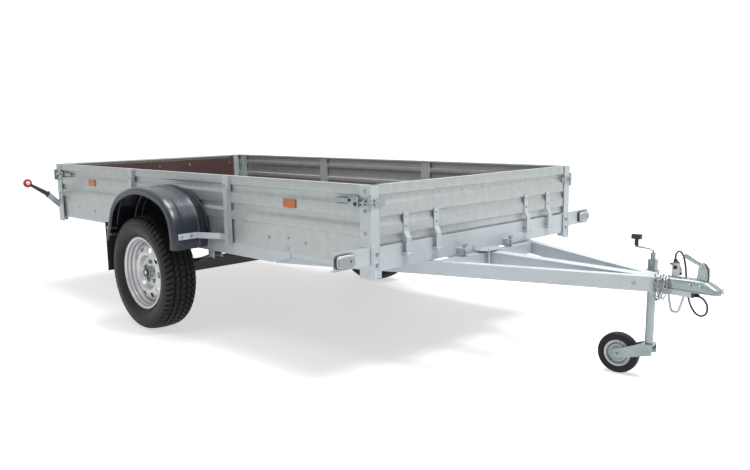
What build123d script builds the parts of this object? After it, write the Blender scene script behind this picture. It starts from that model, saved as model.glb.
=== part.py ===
"""Single-axle utility trailer with a ribbed galvanised box and a tipping drawbar.

Millimetres, +X towards the coupling, +Y to the trailer's left, +Z up, ground at z = 0.
The sizes below are measured from the middle of the load box, and every piece is moved
at the end so that the origin is under the middle of the whole trailer.
"""
from build123d import *
import math
import os

os.makedirs("parts", exist_ok=True)

# ---------------------------------------------------------------- load box
box_length = 3000.0
box_width = 1500.0
box_top = 850.0
frame_bottom = 494.0
frame_height = 101.0
wall_sheet = 2.0
top_hem = 18.0
rib_depth = 9.0
panel_bottom = 515.0
gate_gap = 7.0
floor_thickness = 12.0
clearance = 5.0
half_length = box_length / 2
half_width = box_width / 2
frame_top = frame_bottom + frame_height
web_y = half_width - rib_depth - wall_sheet

# ---------------------------------------------------------------- posts and stakes
post_side_flange = 60.0
post_gate_flange = 45.0
post_sheet = 4.0
post_bottom = 465.0
foot_sheet = 3.0
stake_front_x = 500.0
stake_rear_x = -460.0
stake_width = 54.0
stake_depth = 18.0
stake_sheet = 2.5
stake_brim = 12.0
strip_width = 75.0
strip_sheet = 2.5
strip_gap = 1.0
strip_foot_gap = 5.0
corner_strip_width = 66.0
corner_strip_in = 77.0

# ---------------------------------------------------------------- under-frame
channel_flange = 45.0
channel_low_flange = 34.0
channel_sheet = 3.0
cross_member_height = 40.0
cross_member_width = 50.0
cross_member_count = 6

# ---------------------------------------------------------------- wheels and axle
axle_x = -80.0
wheel_out = 220.0
wheel_track = box_width + wheel_out
tyre_radius = 310.0
tyre_width = 185.0
rim_radius = 178.0
rim_flange_radius = 196.0
rim_sheet = 5.0
hub_face_offset = 14.0
vent_count = 10
vent_circle_radius = 128.0
vent_radius = 12.0
bolt_hole_radius = 7.0
bolt_count = 5
bolt_circle_radius = 56.0
axle_tube = 60.0
stub_radius = 20.0
bearing_clearance = 0.05
spring_half_span = 365.0
spring_in = 55.0
spring_y = half_width - spring_in
spring_width = 45.0
spring_eye_z = 430.0
spring_leaf = 8.0
under_rail_bottom = 455.0
under_rail_sheet = 3.0
under_rail_shelf = 70.0
under_rail_ahead = 30.0
under_rail_rear_x = -600.0
under_rail_nose = 135.0

# ---------------------------------------------------------------- fender
fender_x = -42.0
fender_half_length = 375.0
fender_knee_half = 355.0
fender_shoulder_half = 215.0
fender_top = 781.0
fender_shoulder_z = 745.0
fender_knee_z = 560.0
fender_bottom = 475.0
fender_out = 215.0
fender_outer_y = half_width + fender_out
fender_wall = 4.0
fender_lip = 36.0
stay_width = 30.0
stay_sheet = 4.0
stay_z = 545.0
flap_bottom = 285.0
flap_top = 562.0
flap_sheet = 5.0

# ---------------------------------------------------------------- drawbar
rail_nose_top = 481.0
rail_fall = 0.0139
rail_height = 60.0
rail_nose_low = rail_nose_top - rail_height
rail_width = 40.0
rail_wall = 3.0
rail_spread_back = 700.0
rail_spread_x = half_length - rail_spread_back
rail_spread_in = 50.0
rail_spread_y = half_width - rail_spread_in
rail_nose_ahead = 830.0
rail_nose_x = half_length + rail_nose_ahead
rail_nose_y = 50.0
centre_rail_width = 60.0
centre_rail_ahead = 1000.0
centre_rail_end_x = half_length + centre_rail_ahead
pivot_back = 700.0
pivot_x = half_length - pivot_back
under_rail_front_x = pivot_x + under_rail_ahead
pivot_radius = 19.0
pivot_pin_radius = 14.95
pivot_pin_reach = 60.0
pivot_bore_radius = 15.0
lock_ahead = 30.0
lock_x = half_length + lock_ahead
lock_y = 180.0
cross_bar_ahead = 28.0
cross_bar_x = half_length + cross_bar_ahead
cross_bar_half = 22.0

# ---------------------------------------------------------------- coupling
ball_ahead = 1075.0
ball_x = half_length + ball_ahead
ball_z = 463.0
ball_radius = 25.0
socket_wall = 6.0
coupling_rear_ahead = 895.0
coupling_rear_x = half_length + coupling_rear_ahead
coupling_sheet = 4.0
coupling_skirt = 42.0

# ---------------------------------------------------------------- jockey wheel
jockey_ahead = 762.0
jockey_x = half_length + jockey_ahead
jockey_y = 150.0
jockey_outer_radius = 21.0
jockey_inner_radius = 17.5
jockey_outer_bottom = 420.0
jockey_outer_top = 514.0
jockey_leg_bottom = 158.0
jockey_leg_top = 440.0
jockey_wheel_radius = 90.0
jockey_wheel_width = 48.0
jockey_trail = 128.0
jockey_heading = 187.0

# ---------------------------------------------------------------- hinges of the two gates
hinge_axis_out = 18.0
hinge_axis_z = 546.0
strap_width = 30.0
strap_sheet = 5.0
strap_inner_in = 402.0
strap_outer_in = 205.0
strap_y_inner = half_width - strap_inner_in
strap_y_outer = half_width - strap_outer_in
hinge_pin_radius = 4.0
knuckle_radius = 8.0

parts = {}


def block(x0, x1, y0, y1, z0, z1):
    """Axis-parallel block between two corners."""
    size = (abs(x1 - x0), abs(y1 - y0), abs(z1 - z0))
    return Pos((x0 + x1) / 2, (y0 + y1) / 2, (z0 + z1) / 2) * Box(*size)


def rod(start, end, radius):
    """Round bar between two points."""
    axis = Vector(*end) - Vector(*start)
    place = Plane(origin=start, z_dir=axis)
    return place * extrude(Circle(radius), axis.length)


def pipe(start, end, radius, bore):
    """Round tube between two points."""
    axis = Vector(*end) - Vector(*start)
    place = Plane(origin=start, z_dir=axis)
    return place * extrude(Circle(radius) - Circle(bore), axis.length)


def prism_y(points, y0, y1):
    """Polygon of (x, z) points, extruded from y0 to y1."""
    face = make_face(Polyline(*[(x, 0, z) for x, z in points], close=True))
    solid = extrude(face, abs(y1 - y0), dir=(0, 1, 0))
    return Pos(0, min(y0, y1), 0) * solid


def prism_x(points, x0, x1):
    """Polygon of (y, z) points, extruded from x0 to x1."""
    face = make_face(Polyline(*[(0, y, z) for y, z in points], close=True))
    solid = extrude(face, abs(x1 - x0), dir=(1, 0, 0))
    return Pos(min(x0, x1), 0, 0) * solid


def prism_z(points, z0, z1):
    """Polygon of (x, y) points, extruded from z0 to z1."""
    face = make_face(Polyline(*[(x, y, 0) for x, y in points], close=True))
    return Pos(0, 0, min(z0, z1)) * extrude(face, abs(z1 - z0), dir=(0, 0, 1))


def mirrored_y(solid):
    """The same piece on the other side of the trailer."""
    return mirror(solid, Plane.XZ)


def mirrored_x(solid):
    """The same piece at the other end of the load box."""
    return mirror(solid, Plane.YZ)


def both_sides(solid):
    """A piece and its mirror image across the middle of the trailer."""
    return [solid, mirrored_y(solid)]


def group(*items):
    """One node of several solids."""
    solids = []
    for item in items:
        for piece in item if isinstance(item, (list, tuple)) else [item]:
            solids.extend(piece.solids())
    return Compound(solids)


# ================================================================ ribbed walls
# Section of a wall, as depth below the top edge and how far it lies behind the outer face.
wall_section = [
    # below, behind
    (0.0, 0.0),
    (43.0, 0.0),
    (47.0, rib_depth),
    (72.0, rib_depth),
    (82.0, 0.0),
    (134.0, 0.0),
    (138.0, rib_depth),
    (162.0, rib_depth),
    (172.0, 0.0),
    (213.0, 0.0),
    (217.0, rib_depth),
]


def wall_outline(bottom_z, foot=0.0):
    """Closed section of a ribbed wall as (behind, z) points, sheet thickness inwards."""
    centre = [(top_hem, box_top - wall_sheet / 2)]
    for below, behind in wall_section:
        z = box_top - max(below, wall_sheet / 2)
        centre.append((behind + wall_sheet / 2, z))
    centre.append((rib_depth + wall_sheet / 2, bottom_z + (wall_sheet / 2 if foot else 0.0)))
    if foot:
        centre.append((foot, bottom_z + wall_sheet / 2))
    path = Polyline(*centre)
    return trace(path, wall_sheet)


def wall_solid(bottom_z, run, foot=0.0):
    """Ribbed wall of the given run, centred on zero, standing on its own section plane."""
    section = wall_outline(bottom_z, foot)
    return extrude(section, run / 2, both=True)


def side_wall():
    """Right-hand wall, outer face at y = -half_width."""
    run = box_length - 2 * post_sheet
    solid = wall_solid(panel_bottom, run)
    place = Plane(origin=(0, -half_width, 0), x_dir=(0, 1, 0), z_dir=(1, 0, 0))
    return place * solid


gate_half = half_width - post_gate_flange - clearance
gate_bottom = frame_top + gate_gap


def gate_wall():
    """Front gate panel, outer face at x = half_length."""
    place = Plane(origin=(half_length, 0, 0), x_dir=(-1, 0, 0), z_dir=(0, 1, 0))
    return place * wall_solid(gate_bottom, 2 * gate_half, foot=26.0)


side_right = side_wall()
parts["side_panel_right"] = side_right
parts["side_panel_left"] = mirrored_y(side_right)
front_gate_sheet = gate_wall()

# The ends of each gate are closed by a channel behind the ribs.
end_channel_depth = 24.0
end_channel_width = 28.0
end_behind = rib_depth + wall_sheet


def gate_end():
    """Stiffening channel inside one end of the front gate."""
    x1 = half_length - end_behind
    x0 = half_length - end_behind - end_channel_depth
    z0 = gate_bottom + wall_sheet
    z1 = box_top - wall_sheet
    outer = block(x0, x1, gate_half - end_channel_width, gate_half, z0, z1)
    inner = block(
        x0 + wall_sheet, x1, gate_half - end_channel_width - 1, gate_half - wall_sheet, z0 - 1, z1 + 1
    )
    return outer - inner


gate_ends = both_sides(gate_end())

# Film-faced plywood lining behind the tailgate, between its end channels.
lining_thickness = 9.0
lining_front = -(half_length - end_behind)
parts["tailgate_lining"] = block(
    lining_front,
    lining_front + lining_thickness,
    -(gate_half - end_channel_width - 1),
    gate_half - end_channel_width - 1,
    gate_bottom + wall_sheet + 1,
    box_top - 24,
)

# ================================================================ posts and stakes
post_out = half_width + post_sheet
post_front = half_length + post_sheet
foot_top = frame_top - 2


def corner_post():
    """Front right corner post: an angle outside the walls, with its top closed."""
    y_out = -post_out
    side = block(
        half_length - post_side_flange, post_front, y_out, -half_width, frame_bottom, box_top - 2
    )
    face = block(
        half_length, post_front, -half_width, -half_width + post_gate_flange, frame_bottom, box_top - 2
    )
    return side + face


def post_foot():
    """Ribbed foot of the front right post, reaching below the frame."""
    x0 = half_length - post_side_flange - 2
    x1 = post_front + foot_sheet
    y0 = -post_out - foot_sheet
    y1 = -half_width + post_gate_flange + 6
    side = block(x0, x1, y0, -post_out, post_bottom, foot_top)
    face = block(post_front, x1, -post_out, y1, post_bottom, foot_top)
    ribs = [
        rod((x1, y, post_bottom), (x1, y, foot_top), foot_sheet)
        for y in (y0 + 12, y1 - 12)
    ]
    solid = side + face
    for rib in ribs:
        solid += rib
    return solid


def four_corners(solid):
    """A front right piece repeated at the four corners of the box."""
    rear = mirrored_x(solid)
    return [solid, mirrored_y(solid), rear, mirrored_y(rear)]


parts["corner_posts"] = group(four_corners(corner_post() + post_foot()))


def stake(x):
    """Hat-section stake on the right wall."""
    w = stake_width / 2
    crown_half = w - stake_brim
    y_wall = -half_width
    y_out = -half_width - stake_depth
    z0 = panel_bottom
    z1 = box_top - wall_sheet
    crown = block(x - crown_half, x + crown_half, y_out, y_out + stake_sheet, z0, z1)
    web_a = block(x - crown_half, x - crown_half + stake_sheet, y_out, y_wall, z0, z1)
    web_b = block(x + crown_half - stake_sheet, x + crown_half, y_out, y_wall, z0, z1)
    brim_a = block(x - w, x - crown_half + stake_sheet, y_wall - stake_sheet, y_wall, z0, z1)
    brim_b = block(x + crown_half - stake_sheet, x + w, y_wall - stake_sheet, y_wall, z0, z1)
    return crown + web_a + web_b + brim_a + brim_b


def stake_foot(x):
    """Wedge that carries the foot of a stake back to the frame."""
    w = stake_width / 2 - stake_brim
    y_out = -half_width - stake_depth
    y_in = -web_y - under_rail_sheet
    points = [
        # y, z
        (y_out, panel_bottom),
        (y_in, panel_bottom),
        (y_in, frame_bottom),
        (y_in - stake_sheet, frame_bottom),
    ]
    return prism_x(points, x - w, x + w)


def inner_strip(x, width):
    """Flat strip inside the right wall, between the floor and the hem."""
    y0 = -half_width + rib_depth + wall_sheet
    z1 = box_top - rib_depth - strip_gap
    z0 = frame_top + floor_thickness + strip_foot_gap
    return block(x - width / 2, x + width / 2, y0, y0 + strip_sheet, z0, z1)


corner_strip_x = half_length - corner_strip_in
strip_places = [(stake_front_x, strip_width), (stake_rear_x, strip_width)]
strip_places += [(corner_strip_x, corner_strip_width), (-corner_strip_x, corner_strip_width)]
stakes = [stake(x) + stake_foot(x) for x in (stake_front_x, stake_rear_x)]
stakes += [inner_strip(x, width) for x, width in strip_places]
parts["stakes"] = group(stakes, [mirrored_y(s) for s in stakes])

# ================================================================ frame under the box

def side_channel():
    """Right side frame channel, open towards the middle."""
    x_end = half_length - channel_flange
    y0 = -web_y
    web = block(-x_end, x_end, y0, y0 + channel_sheet, frame_bottom, frame_top)
    low = block(-x_end, x_end, y0, y0 + channel_low_flange, frame_bottom, frame_bottom + channel_sheet)
    top = block(-x_end, x_end, y0, y0 + channel_flange, frame_top - channel_sheet, frame_top)
    return web + low + top


def end_beam():
    """Front cross beam channel, open towards the rear."""
    x1 = half_length
    y_end = web_y
    web = block(x1 - channel_sheet, x1, -y_end, y_end, frame_bottom, frame_top)
    low = block(x1 - channel_flange, x1, -y_end, y_end, frame_bottom, frame_bottom + channel_sheet)
    top = block(x1 - channel_flange, x1, -y_end, y_end, frame_top - channel_sheet, frame_top)
    return web + low + top


channel_right = side_channel()
parts["side_frames"] = group(both_sides(channel_right))
front_beam = end_beam()
parts["front_beam"] = front_beam
parts["rear_beam"] = mirrored_x(front_beam)


def cross_member(x):
    """Top-hat cross member that carries the floor."""
    w = cross_member_width / 2
    y_end = web_y - channel_flange
    z0 = frame_top - cross_member_height
    outer = block(x - w, x + w, -y_end, y_end, z0, frame_top)
    inside = w - channel_sheet
    inner = block(x - inside, x + inside, -y_end - 1, y_end + 1, z0 - 1, frame_top - channel_sheet)
    return outer - inner


member_pitch = (box_length - 2 * channel_flange) / (cross_member_count + 1)
member_places = [
    -half_length + channel_flange + member_pitch * (i + 1) for i in range(cross_member_count)
]
parts["cross_members"] = group([cross_member(x) for x in member_places])

floor_half_x = half_length - 36.0
floor_half_y = web_y - 0.5
parts["floor_panel"] = block(
    -floor_half_x, floor_half_x, -floor_half_y, floor_half_y, frame_top, frame_top + floor_thickness
)

# ================================================================ axle and springs
wheel_y = wheel_track / 2
beam_half = spring_y + spring_width / 2 + 6
axle_top = tyre_radius + axle_tube / 2
stub_end = wheel_y + 8.0
axle_low = tyre_radius - axle_tube / 2
axle = block(axle_x - axle_tube / 2, axle_x + axle_tube / 2, -beam_half, beam_half, axle_low, axle_top)
right_stub = rod((axle_x, -beam_half, tyre_radius), (axle_x, -stub_end, tyre_radius), stub_radius)
for stub in both_sides(right_stub):
    axle += stub
parts["axle_beam"] = axle

eye_radius = 14.0
eye_pin_radius = 7.0


def spring():
    """Right leaf spring: an arched main leaf with eyes, and two shorter leaves below it."""
    leaves = []
    low_z = axle_top + 3 * spring_leaf
    rise = spring_eye_z - low_z
    reach = spring_half_span - eye_radius
    for share, drop in ((1.0, 0.0), (0.72, 1.0), (0.42, 2.0)):
        half = reach * share
        end_rise = rise * share * share
        top_z = low_z - drop * spring_leaf
        curve = ThreePointArc(
            (axle_x - half, 0, top_z + end_rise), (axle_x, 0, top_z), (axle_x + half, 0, top_z + end_rise)
        )
        lower = ThreePointArc(
            (axle_x + half, 0, top_z + end_rise - spring_leaf),
            (axle_x, 0, top_z - spring_leaf),
            (axle_x - half, 0, top_z + end_rise - spring_leaf),
        )
        end_top = top_z + end_rise
        end_low = end_top - spring_leaf
        end_a = Line((axle_x + half, 0, end_top), (axle_x + half, 0, end_low))
        end_b = Line((axle_x - half, 0, end_low), (axle_x - half, 0, end_top))
        face = make_face([curve, end_a, lower, end_b])
        leaf = extrude(face, spring_width, dir=(0, 1, 0))
        leaves.append(Pos(0, -spring_y - spring_width / 2, 0) * leaf)
    solid = leaves[0] + leaves[1] + leaves[2]
    for side in (-1, 1):
        x = axle_x + side * spring_half_span
        y0 = -spring_y - spring_width / 2
        y1 = -spring_y + spring_width / 2
        solid += rod((x, y0, spring_eye_z), (x, y1, spring_eye_z), eye_radius)
    for side in (-1, 1):
        x = axle_x + side * spring_half_span
        y0 = -spring_y - spring_width / 2
        y1 = -spring_y + spring_width / 2
        solid -= rod((x, y0 - 1, spring_eye_z), (x, y1 + 1, spring_eye_z), eye_pin_radius)
    return solid


spring_right = spring()
parts["leaf_springs"] = group(both_sides(spring_right))

# U-bolts hold each spring on the axle beam, with a plate underneath.
clamp_plate = 8.0
u_bolt_radius = 4.5


def spring_clamp():
    """Plate under the axle beam with two U-bolts over the right spring."""
    w = spring_width / 2 + 8
    z0 = tyre_radius - axle_tube / 2 - clamp_plate
    solid = block(
        axle_x - axle_tube / 2 - 20,
        axle_x + axle_tube / 2 + 20,
        -spring_y - w - 2,
        -spring_y + w + 2,
        z0,
        z0 + clamp_plate,
    )
    top_z = axle_top + 3 * spring_leaf + u_bolt_radius + 2
    end_z = z0 - 18
    for side in (-1, 1):
        x = axle_x + side * (axle_tube / 2 + u_bolt_radius + 2)
        y0 = -spring_y - spring_width / 2 - u_bolt_radius - 1
        y1 = -spring_y + spring_width / 2 + u_bolt_radius + 1
        path = FilletPolyline((x, y0, end_z), (x, y0, top_z), (x, y1, top_z), (x, y1, end_z), radius=9)
        solid += sweep(Plane(origin=path @ 0, z_dir=path % 0) * Circle(u_bolt_radius), path=path)
    return solid


parts["spring_clamps"] = group(both_sides(spring_clamp()))


def spring_hanger(x):
    """Two cheeks and a top plate that carry one spring eye, with its bolt."""
    cheek = 5.0
    gap = spring_width / 2 + 0.5
    z0 = spring_eye_z - eye_radius - 6
    z1 = under_rail_bottom
    solid = block(x - 28, x + 28, -spring_y - gap - cheek, -spring_y + gap + cheek, z1 - cheek, z1)
    for side in (-1, 1):
        y = -spring_y + side * (gap + cheek / 2)
        solid += block(x - 24, x + 24, y - cheek / 2, y + cheek / 2, z0, z1)
    y0 = -spring_y - gap - cheek - 7
    y1 = -spring_y + gap + cheek + 7
    solid += rod((x, y0, spring_eye_z), (x, y1, spring_eye_z), eye_pin_radius - bearing_clearance)
    return solid


hangers = [spring_hanger(axle_x - spring_half_span), spring_hanger(axle_x + spring_half_span)]
parts["spring_hangers"] = group(hangers, [mirrored_y(h) for h in hangers])

# ================================================================ wheels
rim_half_width = 68.0


def revolved(section):
    """Solid of revolution about the wheel axis from (radius, y) points, axis through z = 0."""
    face = make_face(Polyline(*[(0, y, r) for r, y in section], close=True))
    return revolve(face, Axis.Y)


def circle_places(count, radius, start):
    """Evenly spaced (x, z) places on a circle, from a start angle in degrees."""
    angles = [math.radians(start + 360.0 / count * i) for i in range(count)]
    return [(radius * math.cos(a), radius * math.sin(a)) for a in angles]


bead_thickness = 12.0
side_wall_thickness = 14.0


def tyre_section():
    """Half-inflated look of the tyre: tread, rounded shoulders, bulging walls and beads."""
    half = tyre_width / 2
    top = tyre_radius
    bead = rim_radius + rim_sheet + 0.3
    inner_y = rim_half_width - rim_sheet - 0.5
    tread = ThreePointArc((0, -half * 0.72, top - 5), (0, 0, top), (0, half * 0.72, top - 5))
    shoulder_a = ThreePointArc(
        (0, half * 0.72, top - 5), (0, half * 0.92, top - 16), (0, half * 0.97, top - 36)
    )
    heel = rim_flange_radius + 3.0
    wall_a = ThreePointArc((0, half * 0.97, top - 36), (0, half, top - 62), (0, inner_y, heel))
    base = Polyline((0, inner_y, heel), (0, inner_y, bead), (0, -inner_y, bead), (0, -inner_y, heel))
    wall_b = ThreePointArc((0, -inner_y, heel), (0, -half, top - 62), (0, -half * 0.97, top - 36))
    shoulder_b = ThreePointArc(
        (0, -half * 0.97, top - 36), (0, -half * 0.92, top - 16), (0, -half * 0.72, top - 5)
    )
    return make_face([tread, shoulder_a, wall_a, base, wall_b, shoulder_b])


def tyre():
    """Tyre centred on the origin with its axis along Y, hollow between tread and rim."""
    solid = revolve(tyre_section(), Axis.Y)
    bead_y = rim_half_width - rim_sheet - bead_thickness
    wall_y = tyre_width / 2 - side_wall_thickness
    room = [
        # radius, y
        (rim_radius + rim_sheet - 1, -bead_y),
        (rim_flange_radius + 8, -bead_y),
        (rim_flange_radius + 24, -wall_y + 6),
        (tyre_radius - 40, -wall_y),
        (tyre_radius - 17, -wall_y + 22),
        (tyre_radius - 14, 0.0),
        (tyre_radius - 17, wall_y - 22),
        (tyre_radius - 40, wall_y),
        (rim_flange_radius + 24, wall_y - 6),
        (rim_flange_radius + 8, bead_y),
        (rim_radius + rim_sheet - 1, bead_y),
    ]
    return solid - revolved(room)


def rim():
    """Pressed steel rim and disc, outer side towards -Y, with ten vent holes."""
    w = rim_half_width
    t = rim_sheet
    barrel = [
        # radius, y
        (rim_flange_radius, -w),
        (rim_flange_radius, -w + t),
        (rim_radius + t, -w + t),
        (rim_radius + t, -26.0),
        (rim_radius - 12 + t, -14.0),
        (rim_radius - 12 + t, 22.0),
        (rim_radius + t, 34.0),
        (rim_radius + t, w - t),
        (rim_flange_radius, w - t),
        (rim_flange_radius, w),
        (rim_radius, w),
        (rim_radius, 36.0),
        (rim_radius - 12, 24.0),
        (rim_radius - 12, -16.0),
        (rim_radius, -28.0),
        (rim_radius, -w),
    ]
    face_y = -hub_face_offset
    disc = [
        # radius, y
        (32.0, face_y),
        (78.0, face_y),
        (92.0, face_y - 26),
        (104.0, face_y - 30),
        (140.0, face_y - 22),
        (158.0, face_y - 2),
        (rim_radius - 11.5, face_y + 4),
        (rim_radius - 11.5, face_y + 10),
        (155.0, face_y + 4),
        (136.0, face_y - 16),
        (104.0, face_y - 24),
        (96.0, face_y - 21),
        (82.0, face_y + t),
        (32.0, face_y + t),
    ]
    holes = [
        rod((x, face_y - 60, z), (x, face_y + 20, z), vent_radius)
        for x, z in circle_places(vent_count, vent_circle_radius, 8.0)
    ]
    holes += [
        rod((x, face_y - 5, z), (x, face_y + t + 5, z), bolt_hole_radius)
        for x, z in circle_places(bolt_count, bolt_circle_radius, 90.0)
    ]
    return revolved(barrel) + (revolved(disc) - holes)


hub_radius = 70.0
hub_inner_y = wheel_y - beam_half - 2 * clearance


def hub():
    """Turning hub with its flange, wheel bolts and grease cap, outer side towards -Y."""
    face_y = -hub_face_offset + rim_sheet
    inner = hub_inner_y
    solid = rod((0, face_y, 0), (0, face_y + 12, 0), hub_radius)
    solid += rod((0, face_y + 12, 0), (0, inner, 0), 42.0)
    solid += rod((0, face_y, 0), (0, face_y - 28, 0), 30.0)
    solid += rod((0, face_y - 28, 0), (0, face_y - 40, 0), 24.0)
    for x, z in circle_places(bolt_count, bolt_circle_radius, 90.0):
        solid += rod((x, face_y, z), (x, face_y - rim_sheet, z), bolt_hole_radius - 0.4)
        solid += rod((x, face_y - rim_sheet, z), (x, face_y - rim_sheet - 14, z), 9.5)
    bore_end = stub_end - wheel_y
    solid -= rod((0, inner + 1, 0), (0, -bore_end - 1.0, 0), stub_radius + bearing_clearance)
    return solid


def place_wheel(solid, side):
    """Puts a wheel piece on its stub axle: side -1 is the right wheel, +1 the left."""
    placed = Pos(axle_x, -wheel_y, tyre_radius) * solid
    return placed if side < 0 else mirrored_y(placed)


for side, name in ((-1, "right"), (1, "left")):
    parts[f"tyre_{name}"] = place_wheel(tyre(), side)
    parts[f"rim_{name}"] = place_wheel(rim(), side)
    parts[f"hub_{name}"] = place_wheel(hub(), side)

# ================================================================ fenders
fender_inner_y = half_width + 7.0


def arch(inset):
    """Fender outline in the XZ plane: flared legs, round shoulders and a flatter top."""
    foot = fender_half_length - inset
    knee = fender_knee_half - inset
    middle = (fender_knee_half + fender_shoulder_half) / 2 + 20.0 - 0.85 * inset
    middle_z = (fender_knee_z + fender_shoulder_z) / 2 + 25.0 - 0.5 * inset
    shoulder = fender_shoulder_half - 0.35 * inset
    shoulder_z = fender_shoulder_z - 0.94 * inset
    left = [(fender_x - u, 0, z) for u, z in ((foot, fender_bottom), (knee, fender_knee_z))]
    right = [(fender_x + u, 0, z) for u, z in ((foot, fender_bottom), (knee, fender_knee_z))]
    shoulder_left = (fender_x - shoulder, 0, shoulder_z)
    shoulder_right = (fender_x + shoulder, 0, shoulder_z)
    return make_face(
        [
            Line(left[0], left[1]),
            ThreePointArc(left[1], (fender_x - middle, 0, middle_z), shoulder_left),
            ThreePointArc(shoulder_left, (fender_x, 0, fender_top - inset), shoulder_right),
            ThreePointArc(shoulder_right, (fender_x + middle, 0, middle_z), right[1]),
            Line(right[1], right[0]),
            Line(right[0], left[0]),
        ]
    )


def slab(face, y0, y1):
    """A face in the XZ plane, extruded between two y values."""
    return Pos(0, min(y0, y1), 0) * extrude(face, abs(y1 - y0), dir=(0, 1, 0))


def fender():
    """Right fender: a moulded tunnel closed by an outer lip."""
    shell = slab(arch(0.0), -fender_outer_y, -fender_inner_y)
    shell -= slab(arch(fender_wall), -fender_outer_y + fender_wall, -fender_inner_y + 1)
    shell -= slab(arch(fender_lip), -fender_outer_y - 1, -fender_outer_y + fender_wall + 1)
    low = block(-2000, 2000, -2000, 0, 0, fender_bottom)
    return shell - low


fender_right = fender()
parts["fender_right"] = fender_right
parts["fender_left"] = mirrored_y(fender_right)


# Flat stays run from the fender's legs to the stakes; the rear one also clamps the mud flap.
bend_y = -(fender_outer_y - 139.0)
stake_face_y = -half_width - stake_depth


def stay(points):
    """Flat bar on edge along (x, y) points, its outer face on the points."""
    flat = trace(Polyline(*points), stay_sheet)
    return Pos(0, 0, stay_z - stay_width / 2) * extrude(flat, stay_width, dir=(0, 0, 1))


half_sheet = stay_sheet / 2
front_leg_x = fender_x + fender_half_length - 8.0
rear_leg_x = fender_x - fender_half_length - flap_sheet - half_sheet
front_stay = stay(
    [
        # x, y
        (front_leg_x, -fender_outer_y + 30),
        (front_leg_x, bend_y),
        (stake_front_x - 48, stake_face_y - half_sheet),
        (stake_front_x + 15, stake_face_y - half_sheet),
    ]
)
rear_stay = stay(
    [
        # x, y
        (rear_leg_x, -fender_outer_y + 30),
        (rear_leg_x, -fender_outer_y + 165),
        (rear_leg_x - 28, stake_face_y - half_sheet),
        (stake_rear_x - 15, stake_face_y - half_sheet),
    ]
)
stays = [front_stay, rear_stay]
parts["fender_stays"] = group(stays, [mirrored_y(s) for s in stays])

mud_flap = block(
    fender_x - fender_half_length - flap_sheet,
    fender_x - fender_half_length,
    -fender_outer_y + 10,
    -fender_inner_y - 24,
    flap_bottom,
    flap_top,
)
parts["mud_flaps"] = group(both_sides(mud_flap))

# ================================================================ drawbar
rail_slope = (rail_spread_y - rail_nose_y) / (rail_nose_x - rail_spread_x)
rail_angle = math.atan(rail_slope)
rail_y_width = rail_width / math.cos(rail_angle)


def rail_face_y(x):
    """Distance of a V rail's outer face from the middle of the trailer at a given x."""
    return rail_nose_y + (rail_nose_x - x) * rail_slope


def rail_low(x):
    """Height of the drawbar's underside, which falls gently towards the coupling."""
    return rail_nose_low + (rail_nose_x - x) * rail_fall


def v_rail_section(x, inset):
    """Corners of the right V rail's (y, z) section at x."""
    shift = inset / math.cos(rail_angle)
    y0 = -rail_face_y(x) + shift
    y1 = -rail_face_y(x) + rail_y_width - shift
    z0 = rail_low(x) + inset
    z1 = rail_low(x) + rail_height - inset
    return [(y0, z0), (y1, z0), (y1, z1), (y0, z1)]


def centre_rail_section(x, inset):
    """Corners of the centre rail's (y, z) section at x."""
    half = centre_rail_width / 2 - inset
    z0 = rail_low(x) + inset
    z1 = rail_low(x) + rail_height - inset
    return [(-half, z0), (half, z0), (half, z1), (-half, z1)]


def rail_between(section_at, x0, x1, inset):
    """Straight bar between the sections at x0 and x1."""
    first = section_at(x0, inset)
    last = section_at(x1, inset)
    way = Vector(x1 - x0, last[0][0] - first[0][0], last[0][1] - first[0][1])
    face = make_face(Polyline(*[(x0, y, z) for y, z in first], close=True))
    return extrude(face, way.length, dir=way)


rail_cut_x = rail_nose_x + 45.0
pivot_z = rail_low(pivot_x) + rail_height / 2


def v_rail():
    """Right V rail: rectangular tube from the pivot tube to the side of the centre rail."""
    outer = rail_between(v_rail_section, pivot_x, rail_cut_x, 0.0)
    inner = rail_between(v_rail_section, pivot_x - 5, rail_cut_x + 5, rail_wall)
    solid = outer - inner
    solid -= block(pivot_x - 500, centre_rail_end_x, -centre_rail_width / 2, 200, 0, 900)
    return solid - rod((pivot_x, -900, pivot_z), (pivot_x, 0, pivot_z), pivot_radius)


parts["v_rails"] = group(both_sides(v_rail()))


def centre_rail():
    """Middle tube of the drawbar, from the pivot tube to the coupling."""
    outer = rail_between(centre_rail_section, pivot_x, centre_rail_end_x, 0.0)
    inner = rail_between(centre_rail_section, pivot_x - 5, centre_rail_end_x + 5, rail_wall)
    solid = outer - inner
    return solid - rod((pivot_x, -100, pivot_z), (pivot_x, 100, pivot_z), pivot_radius)


parts["centre_rail"] = centre_rail()
pivot_half = web_y - clearance - 1.0
parts["pivot_tube"] = pipe(
    (pivot_x, -pivot_half, pivot_z), (pivot_x, pivot_half, pivot_z), pivot_radius, pivot_bore_radius
)

cap_thickness = 8.0
rail_end_low = rail_low(centre_rail_end_x)
parts["rail_end_cap"] = block(
    centre_rail_end_x,
    centre_rail_end_x + cap_thickness,
    -centre_rail_width / 2,
    centre_rail_width / 2,
    rail_end_low,
    rail_end_low + rail_height - 1.0,
)

# Under-rails carry the springs, and the stub pins on which the drawbar tips.


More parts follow.
